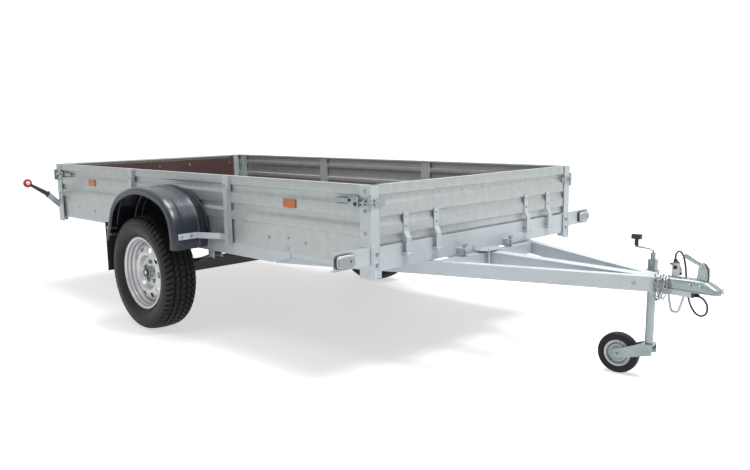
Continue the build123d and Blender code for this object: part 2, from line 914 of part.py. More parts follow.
def under_rail():
    """Right under-rail: a plate outside the frame, with a shelf for the spring hangers."""
    y0 = -web_y - under_rail_sheet
    y1 = -web_y
    z0 = under_rail_bottom
    rise = (frame_bottom - under_rail_bottom) * 0.9
    plate = prism_y(
        [
            # x, z
            (under_rail_rear_x, z0),
            (under_rail_front_x, z0),
            (under_rail_front_x + under_rail_nose, z0 + rise),
            (under_rail_front_x + under_rail_nose, panel_bottom),
            (under_rail_rear_x - under_rail_nose, panel_bottom),
            (under_rail_rear_x - under_rail_nose, z0 + rise),
        ],
        y0,
        y1,
    )
    shelf_front = pivot_x - pivot_radius - 3 * clearance
    shelf = block(under_rail_rear_x, shelf_front, y1, y1 + under_rail_shelf, z0, z0 + under_rail_sheet)
    pin_end = -pivot_half + pivot_pin_reach
    pin = rod((pivot_x, y1, pivot_z), (pivot_x, pin_end, pivot_z), pivot_pin_radius)
    return plate + shelf + pin


parts["under_rails"] = group(both_sides(under_rail()))


def cross_bar():
    """Right half of the channel that ties the V rails to the centre rail in front of the box."""
    x0 = cross_bar_x - cross_bar_half
    x1 = cross_bar_x + cross_bar_half
    y_in = -centre_rail_width / 2
    z0 = rail_low(x0) + 3.0
    z1 = rail_low(x1) + rail_height - 3.0
    points = [
        # x, y
        (x0, y_in),
        (x1, y_in),
        (x1, -rail_face_y(x1) + rail_y_width),
        (x0, -rail_face_y(x0) + rail_y_width),
    ]
    t = rail_wall
    room = block(x0 + t, x1 - t, -half_width, 0, z0 - 1, z1 - t)
    slot = rod((lock_x, -lock_y, z0), (lock_x, -lock_y, z1 + 1), wing_bolt_radius + clearance)
    return prism_z(points, z0, z1) - room - slot


# Tipping locks: lugs on the front beam, and wing bolts through them into the cross bar.
lug_sheet = 6.0
lug_half = 22.0
bed_lug_z = frame_bottom + 26.0
wing_bolt_radius = 5.0
parts["drawbar_cross_bar"] = group(both_sides(cross_bar()))


def bed_lug(y):
    """Angle lug on the front beam."""
    lug_top = bed_lug_z + lug_sheet
    shelf = block(half_length, lock_x + lug_half, y - lug_half, y + lug_half, bed_lug_z, lug_top)
    back = block(half_length, half_length + 5, y - lug_half, y + lug_half, bed_lug_z - 20, bed_lug_z)
    hole = rod((lock_x, y, bed_lug_z - 2), (lock_x, y, bed_lug_z + lug_sheet + 2), wing_bolt_radius)
    return shelf + back - hole


centre_lug_z = rail_low(half_length) + rail_height + clearance
tee_x = cross_bar_x + cross_bar_half + 18.0
tee_y = -(centre_rail_width / 2 + 15.0)


def centre_lug():
    """Rounded shelf on the front beam over the centre rail, with a hanging tee bolt."""
    front = tee_x + 6.0
    shelf = prism_z(
        [
            # x, y
            (half_length, -75.0),
            (front - 32, -75.0),
            (front - 6, -48.0),
            (front, 0.0),
            (front - 6, 48.0),
            (front - 32, 75.0),
            (half_length, 75.0),
        ],
        centre_lug_z,
        centre_lug_z + 5.0,
    )
    shelf += block(half_length, half_length + 4, -75, 75, centre_lug_z, centre_lug_z + 24)
    foot_z = rail_low(tee_x)
    shelf += rod((tee_x, tee_y, foot_z), (tee_x, tee_y, centre_lug_z + 12), 4.0)
    return shelf + rod((tee_x, tee_y, foot_z), (tee_x, tee_y, foot_z + 5), 8.0)


def wing_bolt(y):
    """Wing bolt that stands through a bed lug and ends inside the cross bar."""
    z_top = bed_lug_z + lug_sheet
    z_end = rail_low(lock_x) + rail_height / 2 - 4
    solid = rod((lock_x, y, z_end), (lock_x, y, z_top + 10), wing_bolt_radius)
    solid += rod((lock_x, y, z_top), (lock_x, y, z_top + 9), 9.0)
    wing = prism_x(
        [(y - 20, z_top + 17), (y - 7, z_top), (y + 7, z_top), (y + 20, z_top + 17)], lock_x - 2, lock_x + 2
    )
    return solid + wing


parts["bed_lock_lugs"] = group([bed_lug(-lock_y), bed_lug(lock_y), centre_lug()])
parts["wing_bolts"] = group([wing_bolt(-lock_y), wing_bolt(lock_y)])

# ================================================================ coupling head
coupling_half = centre_rail_width / 2 + coupling_sheet + 0.2


coupling_roof = rail_low(coupling_rear_x) + rail_height + 0.2
coupling_top = coupling_roof + coupling_sheet


def coupling():
    """Pressed head: a channel over the centre rail that narrows to the ball socket."""
    top_z = coupling_top
    low_z = coupling_top - coupling_skirt
    socket_r = ball_radius + socket_wall
    outline = [
        (coupling_rear_x, -coupling_half),
        (ball_x - 55, -coupling_half),
        (ball_x, -socket_r),
        (ball_x, socket_r),
        (ball_x - 55, coupling_half),
        (coupling_rear_x, coupling_half),
    ]
    t = coupling_sheet
    room = [
        (coupling_rear_x - 5, -coupling_half + t),
        (ball_x - 55, -coupling_half + t),
        (ball_x - 24, -socket_r + t + 4),
        (ball_x - 24, socket_r - t - 4),
        (ball_x - 55, coupling_half - t),
        (coupling_rear_x - 5, coupling_half - t),
    ]
    solid = prism_z(outline, low_z, top_z)
    solid += rod((ball_x, 0, low_z), (ball_x, 0, ball_z), socket_r)
    solid += Pos(ball_x, 0, ball_z) * Sphere(socket_r)
    solid -= block(ball_x - 200, ball_x + 200, -100, 100, low_z - 100, low_z)
    solid -= prism_z(room, low_z - 1, top_z - t)
    solid -= Pos(ball_x, 0, ball_z) * Sphere(ball_radius + 0.3)
    solid -= rod((ball_x, 0, low_z - 5), (ball_x, 0, ball_z), ball_radius + 0.3)
    return solid


parts["coupling_head"] = coupling()


def coupling_handle():
    """Hand lever over the socket, curving up and back."""
    top_z = coupling_top
    path = FilletPolyline(
        (ball_x - 34, 0, top_z + 8), (ball_x - 22, 0, top_z + 44), (ball_x - 70, 0, top_z + 66),
        (ball_x - 122, 0, top_z + 90), radius=16
    )
    section = Plane(origin=path @ 0, z_dir=path % 0) * Rectangle(9, 24)
    lever = sweep(section, path=path)
    base = block(ball_x - 50, ball_x - 19, -17, 17, top_z, top_z + 12)
    crown = Pos(ball_x, 0, ball_z) * Sphere(ball_radius + socket_wall)
    return base + lever - crown


parts["coupling_handle"] = coupling_handle()

# ================================================================ jockey wheel
jockey_bore = jockey_inner_radius + bearing_clearance


clamp_wall = 8.0


def jockey_clamp():
    """Arm and ring that hold the jockey wheel's outer tube beside the left V rail."""
    low = rail_low(jockey_x)
    ring_radius = jockey_outer_radius + clamp_wall
    ring = pipe((jockey_x, jockey_y, low + 8), (jockey_x, jockey_y, low + 48), ring_radius, jockey_outer_radius)
    side = Vector(math.sin(rail_angle), math.cos(rail_angle), 0)
    along = Vector(math.cos(rail_angle), -math.sin(rail_angle), 0)
    face_gap = (jockey_y - rail_face_y(jockey_x)) * math.cos(rail_angle)
    centre = Vector(jockey_x, jockey_y, 0)
    near = centre - side * (jockey_outer_radius + 4)
    far = centre - side * face_gap
    half = along * 16
    corners = [near - half, near + half, far + half, far - half]
    arm = prism_z([(p.X, p.Y) for p in corners], low + 12, low + 44)
    plate_back = far + side * 5
    wide = along * 34
    corners = [far - wide, far + wide, plate_back + wide, plate_back - wide]
    plate = prism_z([(p.X, p.Y) for p in corners], low + 4, low + rail_height - 4)
    solid = ring + arm + plate
    high = low + rail_height
    return solid - rod((jockey_x, jockey_y, low), (jockey_x, jockey_y, high), jockey_outer_radius)


parts["jockey_clamp"] = jockey_clamp()

spindle_radius = 6.0
outer_cap = 4.0
neck_radius = 10.0
leg_bore = 15.0
leg_nut = 10.0
spindle_below = 5.0
neck_length = 29.0
neck_top = jockey_outer_top + neck_length


def jockey_outer():
    """Outer tube with its closed top and the neck of the crank spindle."""
    foot = (jockey_x, jockey_y, jockey_outer_bottom)
    top = (jockey_x, jockey_y, jockey_outer_top)
    tube = pipe(foot, top, jockey_outer_radius, jockey_bore)
    under_cap = (jockey_x, jockey_y, jockey_outer_top - outer_cap)
    cap = pipe(under_cap, top, jockey_outer_radius, spindle_radius)
    neck = pipe(top, (jockey_x, jockey_y, neck_top), neck_radius, spindle_radius)
    return tube + cap + neck


parts["jockey_outer_tube"] = jockey_outer()

crank_reach = 72.0
crank_heading = math.radians(186.0)


def jockey_crank():
    """Spindle down the tube, bent crank rod above it."""
    spindle_low = (jockey_x, jockey_y, jockey_outer_bottom - spindle_below)
    spindle = rod(spindle_low, (jockey_x, jockey_y, neck_top), spindle_radius)
    end_x = jockey_x + crank_reach * math.cos(crank_heading)
    end_y = jockey_y + crank_reach * math.sin(crank_heading)
    mid_x = jockey_x + 16 * math.cos(crank_heading)
    mid_y = jockey_y + 16 * math.sin(crank_heading)
    path = FilletPolyline(
        (jockey_x, jockey_y, neck_top),
        (jockey_x, jockey_y, neck_top + 8),
        (mid_x, mid_y, neck_top + 16),
        (end_x, end_y, neck_top + 20),
        radius=4,
    )
    arm = sweep(Plane(origin=path @ 0, z_dir=path % 0) * Circle(4.0), path=path)
    post = rod((end_x, end_y, neck_top + 16), (end_x, end_y, neck_top + 24), 5.0)
    return spindle + arm + post


parts["jockey_crank"] = jockey_crank()


def crank_knob():
    """Black T-shaped grip on the crank."""
    end_x = jockey_x + crank_reach * math.cos(crank_heading)
    end_y = jockey_y + crank_reach * math.sin(crank_heading)
    z0 = neck_top + 24
    stem = Pos(end_x, end_y, z0) * extrude(Circle(8.5), 30)
    head = block(end_x - 20, end_x + 20, end_y - 10, end_y + 10, z0 + 28, z0 + 48)
    return stem + head


parts["crank_knob"] = crank_knob()


def jockey_leg():
    """Inner tube with the nut that runs on the spindle."""
    top = (jockey_x, jockey_y, jockey_leg_top)
    leg = pipe((jockey_x, jockey_y, jockey_leg_bottom), top, jockey_inner_radius, leg_bore)
    nut_low = (jockey_x, jockey_y, jockey_leg_top - leg_nut)
    nut = pipe(nut_low, top, leg_bore, spindle_radius + bearing_clearance)
    return leg + nut


parts["jockey_leg_tube"] = jockey_leg()

heading = math.radians(jockey_heading)
jockey_wheel_x = jockey_x + jockey_trail * math.cos(heading)
jockey_wheel_y = jockey_y + jockey_trail * math.sin(heading)
fork_gap = jockey_wheel_width / 2 + 5.0
fork_sheet = 4.0
jockey_pin_radius = 6.0


def jockey_frame(points, z0, z1):
    """Prism in the fork's own plan: first value along the trail, second across it."""
    ax, ay = math.cos(heading), math.sin(heading)
    placed = [(jockey_x + u * ax - v * ay, jockey_y + u * ay + v * ax) for u, v in points]
    return prism_z(placed, z0, z1)


def fork_cheek(side):
    """One cheek of the fork, running from the swivel head down to the axle."""
    face = make_face(
        Polyline(
            (-22, 0, jockey_leg_bottom - 6),
            (26, 0, jockey_leg_bottom - 6),
            (jockey_trail + 14, 0, jockey_wheel_radius + 16),
            (jockey_trail + 14, 0, jockey_wheel_radius - 14),
            (jockey_trail - 16, 0, jockey_wheel_radius - 16),
            (-22, 0, jockey_leg_bottom - 50),
            close=True,
        )
    )
    y0 = side * fork_gap if side > 0 else -fork_gap - fork_sheet
    cheek = Pos(0, y0, 0) * extrude(face, fork_sheet, dir=(0, 1, 0))
    place = Location((jockey_x, jockey_y, 0), (0, 0, jockey_heading))
    return place * cheek


def jockey_fork():
    """Fork with its swivel plate and the wheel's axle bolt."""
    z1 = jockey_leg_bottom - 6
    w = fork_gap + fork_sheet
    plate = jockey_frame([(-22, -w), (26, -w), (26, w), (-22, w)], z1 - 6, z1)
    stud = rod((jockey_x, jockey_y, z1), (jockey_x, jockey_y, jockey_leg_bottom + 30), 14.9)
    solid = plate + fork_cheek(-1) + fork_cheek(1) + stud
    across = Vector(-math.sin(heading), math.cos(heading), 0)
    centre = Vector(jockey_wheel_x, jockey_wheel_y, jockey_wheel_radius)
    reach = across * (fork_gap + fork_sheet + 8)
    start = centre - reach
    end = centre + reach
    return solid + rod(tuple(start), tuple(end), jockey_pin_radius)


parts["jockey_fork_frame"] = jockey_fork()


def jockey_ring(section):
    """Solid of revolution about the jockey wheel's axle from (radius, across) points."""
    face = make_face(Polyline(*[(0, y, r) for r, y in section], close=True))
    solid = revolve(face, Axis.Y)
    place = Location((jockey_wheel_x, jockey_wheel_y, jockey_wheel_radius), (0, 0, jockey_heading))
    return place * solid


half_tread = jockey_wheel_width / 2
hub_outer = jockey_wheel_radius * 0.60
parts["jockey_tyre"] = jockey_ring(
    [
        # radius, across
        (hub_outer, -half_tread + 4),
        (jockey_wheel_radius - 16, -half_tread),
        (jockey_wheel_radius - 5, -half_tread + 6),
        (jockey_wheel_radius, -half_tread + 15),
        (jockey_wheel_radius, half_tread - 15),
        (jockey_wheel_radius - 5, half_tread - 6),
        (jockey_wheel_radius - 16, half_tread),
        (hub_outer, half_tread - 4),
    ]
)
parts["jockey_hub"] = jockey_ring(
    [
        # radius, across
        (jockey_pin_radius + bearing_clearance, -fork_gap + 1.0),
        (14.0, -fork_gap + 1.0),
        (16.0, -12.0),
        (hub_outer - 8, -12.0),
        (hub_outer - 4, -half_tread + 3),
        (hub_outer, -half_tread + 3),
        (hub_outer, half_tread - 3),
        (hub_outer - 4, half_tread - 3),
        (hub_outer - 8, 12.0),
        (16.0, 12.0),
        (14.0, fork_gap - 1.0),
        (jockey_pin_radius + bearing_clearance, fork_gap - 1.0),
    ]
)

# ================================================================ gate hinges
axis_x = half_length + hinge_axis_out
strap_top = 725.0


def hinge_strap(y):
    """Strap on the gate's ribs that bends out and down to the knuckle."""
    t = strap_sheet
    x0 = half_length
    w = strap_width / 2
    points = [
        (x0, strap_top),
        (x0, 640.0),
        (axis_x - 2, 612.0),
        (axis_x - 2, hinge_axis_z),
        (axis_x - 2 + t, hinge_axis_z),
        (axis_x - 2 + t, 614.0),
        (x0 + t, 643.0),
        (x0 + t, strap_top),
    ]
    solid = prism_y(points, y - w, y + w)
    solid += rod((axis_x, y - w, hinge_axis_z), (axis_x, y + w, hinge_axis_z), knuckle_radius)
    bore_radius = hinge_pin_radius + bearing_clearance
    return solid - rod((axis_x, y - w - 1, hinge_axis_z), (axis_x, y + w + 1, hinge_axis_z), bore_radius)


def hinge_bracket(y):
    """Two ears on the front beam with the pin between them."""
    w = strap_width / 2
    ear = 5.0
    gap = 0.5
    pin_half = w + gap + ear
    solid = rod((axis_x, y - pin_half, hinge_axis_z), (axis_x, y + pin_half, hinge_axis_z), hinge_pin_radius)
    for side in (-1, 1):
        y0 = y + side * (w + gap)
        y1 = y + side * (w + gap + ear)
        solid += block(half_length, axis_x + 7, y0, y1, hinge_axis_z - 9, hinge_axis_z + 9)
    return solid


strap_places = [-strap_y_outer, -strap_y_inner, strap_y_inner, strap_y_outer]
straps = [hinge_strap(y) for y in strap_places]
brackets = [hinge_bracket(y) for y in strap_places]
parts["front_gate_straps"] = group(straps)
parts["tailgate_straps"] = group([mirrored_x(s) for s in straps])
parts["gate_hinge_brackets"] = group(brackets, [mirrored_x(b) for b in brackets])

# ================================================================ latches and reflectors
rib_top = box_top - 82.0
latch_z = 778.0
latch_front_x = 1452.0
latch_back_x = 1384.0
latch_out = 22.0
rod_radius = 5.0


def latch():
    """Front right latch: a toggle body on a backing plate, with its hook rod past the post."""
    y_wall = -half_width
    y_out = y_wall - latch_out
    y_post = y_wall - post_sheet
    body = block(latch_back_x, latch_front_x, y_out, y_post, latch_z - 21, latch_z + 22)
    base = block(latch_back_x, half_length - post_side_flange, y_post, y_wall, latch_z - 21, rib_top)
    plate = block(latch_back_x - 103, latch_back_x, y_wall - 3, y_wall, latch_z - 28, rib_top)
    hook_y = y_wall - latch_out / 2 - 1
    hook = rod((latch_front_x, hook_y, latch_z), (post_front + 9, hook_y, latch_z), rod_radius)
    return body + base + plate + hook


def keeper(side):
    """Catch on the front gate that the hook of a latch takes hold of."""
    y_in = side * (gate_half - 23)
    y_mid = side * (gate_half + 3)
    y_out = side * (half_width - 2)
    x1 = half_length + 9
    base = block(half_length, x1, y_in, y_mid, rib_top - 28, rib_top)
    return base + block(x1, x1 + 6, y_in, y_out, rib_top - 33, rib_top + 32)


parts["latches"] = group(four_corners(latch()))
keepers = [keeper(-1), keeper(1)]
parts["front_gate_panel"] = group(front_gate_sheet, gate_ends, keepers)
parts["tailgate_panel"] = group(
    [mirrored_x(piece) for piece in (front_gate_sheet, *gate_ends, *keepers)]
)

reflector_x = 985.0
reflector_size = (85.0, 6.0, 40.0)


def reflector(x):
    """Orange reflector on the wall's upper rib."""
    length, depth, height = reflector_size
    y = -half_width
    z = rib_top - 24
    return block(x - length / 2, x + length / 2, y - depth, y, z - height / 2, z + height / 2)


side_reflectors = [reflector(-reflector_x), reflector(reflector_x)]
parts["side_reflectors"] = group(side_reflectors, [mirrored_y(r) for r in side_reflectors])

# ================================================================ lamps and number plate
foot_face_x = post_front + foot_sheet
foot_side_y = post_out + foot_sheet
lamp_plate = 3.0
front_lamp_out = 155.0
front_lamp_y = half_width + front_lamp_out
front_lamp_z = 562.0
front_lamp_size = (103.0, 58.0)
front_lamp_depth = 21.0
marker_out = 203.0
marker_y = half_width + marker_out
marker_z = 730.0
marker_radius = 28.0
flange_out = 76.0
flange_y = half_width + flange_out
flange_z = 649.0
tail_lamp_half = 64.0
tail_lamp_in = 118.0
tail_lamp_y = half_width - tail_lamp_in
tail_lamp_bottom = 503.0
tail_lamp_top = 586.0
tail_lamp_depth = 21.0
number_plate_size = (520.0, 112.0)
number_plate_bottom = 412.0
number_plate_sheet = 2.0


def front_lamp_bracket():
    """Plate that carries the right front lamp beside the post, with flanges back to the foot."""
    x1 = half_length + 1
    x0 = x1 - lamp_plate
    y0 = -fender_outer_y + clearance
    y1 = -foot_side_y
    z0 = front_lamp_z - 37
    plate = block(x0, x1, y0, y1, z0, z0 + 75)
    side = block(x0 - 58, x0, y1 - lamp_plate, y1, z0, z0 + 65)
    shelf = block(x0 - 20, x0, y0, y1, z0, z0 + lamp_plate)
    return plate + side + shelf


def front_lamp():
    """Oval marker lamp on its bracket."""
    place = Plane(origin=(half_length + 1, -front_lamp_y, front_lamp_z), x_dir=(0, 1, 0), z_dir=(1, 0, 0))
    radius = front_lamp_size[1] / 2 - 1
    return place * extrude(RectangleRounded(*front_lamp_size, radius), front_lamp_depth)


parts["front_lamps"] = group(both_sides(front_lamp()))

marker_x = -(foot_face_x + foot_sheet)
arm_sheet = 4.0
arm_root_in = 48.0
arm_root_y = half_width - arm_root_in
arm_run = 178.0
arm_climb = 173.0


def marker_arm():
    """Flat arm that rises outwards from the rear right foot to the marker lamp's flange."""
    along = Vector(0, arm_run, arm_climb).normalized()
    across = Vector(0, -along.Z, along.Y) * 19
    root = Vector(0, flange_y - arm_run, flange_z - arm_climb)
    tip = Vector(0, flange_y, flange_z)
    corners = [root + across, root - across, tip - across, tip + across]
    arm = prism_x([(-p.Y, p.Z) for p in corners], marker_x - arm_sheet, marker_x)
    return arm - block(marker_x - 2 * arm_sheet, 0, -arm_root_y, 0, 0, box_top)


def marker_lamp():
    """Rubber stalk with its flange and the round lamp that it carries."""
    stalk_x = marker_x + 7
    flange = Vector(stalk_x, -flange_y, flange_z)
    centre = Vector(stalk_x, -marker_y, marker_z)
    along = (centre - flange).normalized()
    disc = rod(tuple(flange - along * 4), tuple(flange + along * 4), 22.0)
    stalk = rod(tuple(flange), tuple(centre - along * 12), 11.0)
    lamp = rod((marker_x - 15, -marker_y, marker_z), (marker_x + 19, -marker_y, marker_z), marker_radius)
    return disc + stalk + lamp


arm = marker_arm()
marker = marker_lamp() - arm
parts["side_lamps"] = group(both_sides(marker))


def tail_bracket():
    """Plate behind the right tail lamp, on the rear beam."""
    x0 = -half_length - lamp_plate
    y0 = -tail_lamp_y - tail_lamp_half
    y1 = -tail_lamp_y + tail_lamp_half
    return block(x0, -half_length, y0, y1, tail_lamp_bottom - lamp_plate, tail_lamp_top + lamp_plate)


def tail_lamp():
    """Rectangular tail lamp cluster on its plate."""
    x1 = -half_length - lamp_plate
    y0 = -tail_lamp_y - tail_lamp_half
    y1 = -tail_lamp_y + tail_lamp_half
    return block(x1 - tail_lamp_depth, x1, y0, y1, tail_lamp_bottom, tail_lamp_top)


parts["rear_lamps"] = group(both_sides(tail_lamp()))
brackets_right = [front_lamp_bracket(), arm, tail_bracket()]
parts["lamp_brackets"] = group(brackets_right, [mirrored_y(b) for b in brackets_right])
parts["number_plate"] = block(
    -half_length - number_plate_sheet,
    -half_length,
    -number_plate_size[0] / 2,
    number_plate_size[0] / 2,
    number_plate_bottom,
    number_plate_bottom + number_plate_size[1],
)

# ================================================================ loop, chain, cable and plug
bar_radius = 5.0
loop_ahead = 898.0
loop_x = half_length + loop_ahead
loop_bottom = 346.0
loop_path = [
    # x, y, z
    (loop_x, 0.0, rail_low(loop_x)),
    (loop_x + 15.0, 0.0, loop_bottom),
    (loop_x + 43.0, 0.0, loop_bottom),
    (loop_x + 64.0, 0.0, rail_low(loop_x + 64.0)),
]


def swept(points, radius, section_radius):
    """Round bar along a path with rounded corners."""
    path = FilletPolyline(*points, radius=radius)
    return sweep(Plane(origin=path @ 0, z_dir=path % 0) * Circle(section_radius), path=path)


loop_block = block(loop_path[0][0] - 20, loop_path[-1][0] + 20, -30, 30, rail_low(loop_x), 500)
parts["hanger_loop"] = swept(loop_path, 13.0, bar_radius) - parts["centre_rail"] - loop_block

chain_radius = 7.0
chain_ahead = 852.0
chain_x = half_length + chain_ahead
chain_top = rail_low(chain_x) + rail_height + chain_radius
chain_y = centre_rail_width / 2 + chain_radius + 1.5
chain_path = [
    # x, y, z
    (chain_x, -12.0, chain_top),
    (chain_x, -chain_y - 12.0, chain_top),
    (chain_x + 4.0, -chain_y - 16.0, 400.0),
    (chain_x + 16.0, -chain_y - 20.0, 380.0),
    (chain_x + 30.0, -chain_y - 16.0, 398.0),
    (chain_x + 20.0, -chain_y - 12.0, chain_top),
    (chain_x + 20.0, -12.0, chain_top),
]
parts["safety_chain"] = swept(chain_path, 7.5, chain_radius)

cable_diameter = 8.0
cable_path = [
    # x, y, z
    (2508.0, 0.0, 424.0),
    (2527.0, -1.0, 420.0),
    (2547.0, -4.0, 405.0),
    (2556.0, -7.0, 382.0),
    (2551.0, -7.0, 357.0),
    (2529.0, 0.0, 344.0),
    (2502.0, 12.0, 350.0),
    (2476.0, 34.0, 368.0),
    (2455.0, 55.0, 396.0),
    (2444.0, 67.0, 434.0),
    (2436.0, 72.0, 476.0),
    (2431.0, 73.0, 514.0),
    (2426.0, 71.0, 544.0),
    (2422.0, 63.0, 566.0),
    (2418.0, 46.0, 580.0),
    (2415.0, 27.0, 581.0),
    (2415.0, 12.0, 571.0),
    (2417.0, 6.0, 554.0),
]


def cable():
    """Free stretch of the lighting cable, from the capped rail end round to the plug."""
    points = [Vector(*point) for point in cable_path]
    runs = [b - a for a, b in zip(points, points[1:])]
    radii = []
    for first, second in zip(runs, runs[1:]):
        half_turn = math.radians(first.get_angle(second) / 2)
        radii.append(0.45 * min(first.length, second.length) / math.tan(half_turn))
    print("cable radii:", [round(radius, 1) for radius in radii])
    path = FilletPolyline(*cable_path, radius=radii)
    tube = sweep(Plane(origin=path @ 0, z_dir=path % 0) * Circle(cable_diameter / 2), path=path)
    ideal = path.length * math.pi * (cable_diameter / 2) ** 2
    print("cable length:", round(path.length, 1), "volume ratio:", round(tube.volume / ideal, 4))
    return tube


parts["cable"] = cable()

plug_top = Vector(*cable_path[-1])
plug_body_radius = 14.0
plug_length = 64.0
plug_axis = Vector(0.2, 0.12, -1).normalized()


def plug():
    """Seven-pin plug hanging behind its holder, with a tapered gland for the cable."""
    top = plug_top
    gland = rod(tuple(top), tuple(top + plug_axis * 9), 8.0)
    body = rod(tuple(top + plug_axis * 9), tuple(top + plug_axis * plug_length), plug_body_radius)
    return gland + body


plug_solid = plug()
parts["plug"] = plug_solid
holder_ahead = 926.0
holder_x = half_length + holder_ahead
holder_rear = 12.0
holder_front = 17.0
holder_y = -14.0
holder_z = 526.0


def plug_holder():
    """Plate on the coupling with a ring behind it, in which the plug is parked."""
    x0 = holder_x - holder_rear
    x1 = holder_x + holder_front
    plate = block(x0, x1, holder_y, holder_y + 3, coupling_top, holder_z + 15)
    hole = rod((holder_x, holder_y - 1, holder_z), (holder_x, holder_y + 4, holder_z), 8.5)
    foot = block(x0, x1, holder_y, holder_y + 16, coupling_top, coupling_top + 3)
    low = plug_top + plug_axis * (plug_length - 24)
    high = plug_top + plug_axis * (plug_length - 12)
    ring = rod(tuple(low), tuple(high), plug_body_radius + 3)
    web = block(low.X - 4, low.X + 4, holder_y, low.Y, high.Z, low.Z)
    beyond = plug_top + plug_axis * 2 * plug_length
    plug_space = rod(tuple(plug_top), tuple(beyond), plug_body_radius + bearing_clearance)
    return plate - hole + foot + ring + web - plug_space


parts["plug_holder"] = plug_holder()

# ================================================================ write the parts
rear_extent = -(axis_x + knuckle_radius)
front_extent = ball_x + ball_radius + socket_wall
origin_x = (rear_extent + front_extent) / 2

for name, shape in parts.items():
    solids = [solid.moved(Location((-origin_x, 0, 0))) for solid in shape.solids()]
    export_step(Compound(solids) if len(solids) > 1 else solids[0], f"parts/{name}.step")
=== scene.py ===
import math

import bmesh
import bpy
import numpy as np
from mathutils import Matrix, Vector


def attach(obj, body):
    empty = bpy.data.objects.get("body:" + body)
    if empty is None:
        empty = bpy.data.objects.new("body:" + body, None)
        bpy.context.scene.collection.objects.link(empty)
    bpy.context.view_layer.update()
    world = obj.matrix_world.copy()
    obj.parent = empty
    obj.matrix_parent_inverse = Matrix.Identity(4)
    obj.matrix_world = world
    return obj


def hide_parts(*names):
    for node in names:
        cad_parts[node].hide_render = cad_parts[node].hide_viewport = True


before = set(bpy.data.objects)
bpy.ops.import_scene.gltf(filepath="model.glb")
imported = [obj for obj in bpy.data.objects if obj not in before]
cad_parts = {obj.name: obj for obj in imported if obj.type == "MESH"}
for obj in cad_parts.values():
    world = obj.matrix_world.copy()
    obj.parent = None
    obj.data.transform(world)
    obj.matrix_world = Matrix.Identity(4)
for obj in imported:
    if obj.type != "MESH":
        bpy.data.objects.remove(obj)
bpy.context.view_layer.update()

# ---- The studio the trailer stands in
# A white room: a pale floor that keeps the shadow, an even white sky, and soft lamps
# overhead and in front. The camera stands ahead of the trailer's right front corner.
camera = bpy.data.objects.new("camera", bpy.data.cameras.new("camera"))
bpy.context.scene.collection.objects.link(camera)
bpy.context.scene.camera = camera
yaw, pitch, roll = math.radians(45.769), math.radians(9.813), math.radians(-0.933)
look = np.array([-math.sin(yaw) * math.cos(pitch), math.cos(yaw) * math.cos(pitch), -math.sin(pitch)])
level = np.array([math.cos(yaw), math.sin(yaw), 0.0])
right = math.cos(roll) * level + math.sin(roll) * np.cross(level, look)
up = np.cross(right, look)
turn = np.eye(4)
turn[:3, 0], turn[:3, 1], turn[:3, 2], turn[:3, 3] = right, up, -look, (3.11975, -2.90802, 1.10716)
camera.matrix_world = Matrix(turn.tolist())
camera.data.sensor_width = 36.0
camera.data.lens = 763.934 / 750 * 36.0
camera.data.shift_x = 13.34 / 750
camera.data.shift_y = 17.19 / 750
camera.data.clip_end = 200

bpy.context.scene.view_settings.view_transform = "Standard"
world = bpy.data.worlds.new("white room")
bpy.context.scene.world = world
world.use_nodes = True
sky, sky_links = world.node_tree.nodes, world.node_tree.links
sky_rays = sky.new("ShaderNodeLightPath").outputs
seen_directly, seen_in_gloss = sky.new("ShaderNodeMath"), sky.new("ShaderNodeMath")
seen_directly.operation = seen_in_gloss.operation = "MAXIMUM"
sky_strength = sky.new("ShaderNodeMapRange")
sky_strength.inputs["To Min"].default_value = 0.17
sky_strength.inputs["To Max"].default_value = 1.0
sky["Background"].inputs["Color"].default_value = (1, 1, 1, 1)
for source, target in (
    (sky_rays["Is Camera Ray"], seen_directly.inputs[0]),
    (sky_rays["Is Transmission Ray"], seen_directly.inputs[1]),
    (seen_directly.outputs[0], seen_in_gloss.inputs[0]),
    (sky_rays["Is Glossy Ray"], seen_in_gloss.inputs[1]),
    (seen_in_gloss.outputs[0], sky_strength.inputs["Value"]),
    (sky_strength.outputs["Result"], sky["Background"].inputs["Strength"]),
):
    sky_links.new(source, target)


def lamp(name, place, aim, size, power):
    """Soft square lamp at a place, turned to face a point."""
    light = bpy.data.lights.new(name, "AREA")
    light.size = size
    light.energy = power
    holder = bpy.data.objects.new(name, light)
    holder.location = place
    holder.rotation_euler = (Vector(aim) - Vector(place)).to_track_quat("-Z", "Y").to_euler()
    bpy.context.scene.collection.objects.link(holder)


lamp("overhead", (-0.2, 0.2, 5.2), (-0.4, 0.0, 0.4), 2.0, 215)
lamp("front", (3.6, 0.6, 6.0), (0.9, 0.0, 0.6), 1.8, 300)
lamp("side", (0.2, -3.4, 6.0), (-0.4, -0.7, 0.6), 1.8, 50)


def grid_faces(rows, cols, wrap_rows, wrap_cols):
    """Corner numbers of the cells between neighbouring rows and columns of a grid."""
    number = np.arange(rows * cols).reshape(rows, cols)
    if wrap_rows:
        number = np.vstack([number, number[:1]])
    if wrap_cols:
        number = np.hstack([number, number[:, :1]])
    corners = [number[:-1, :-1], number[1:, :-1], number[1:, 1:], number[:-1, 1:]]
    return np.stack(corners, -1).reshape(-1, 4)


open_sheet, lathe, loop, both_ways = (False, False), (True, False), (False, True), (True, True)


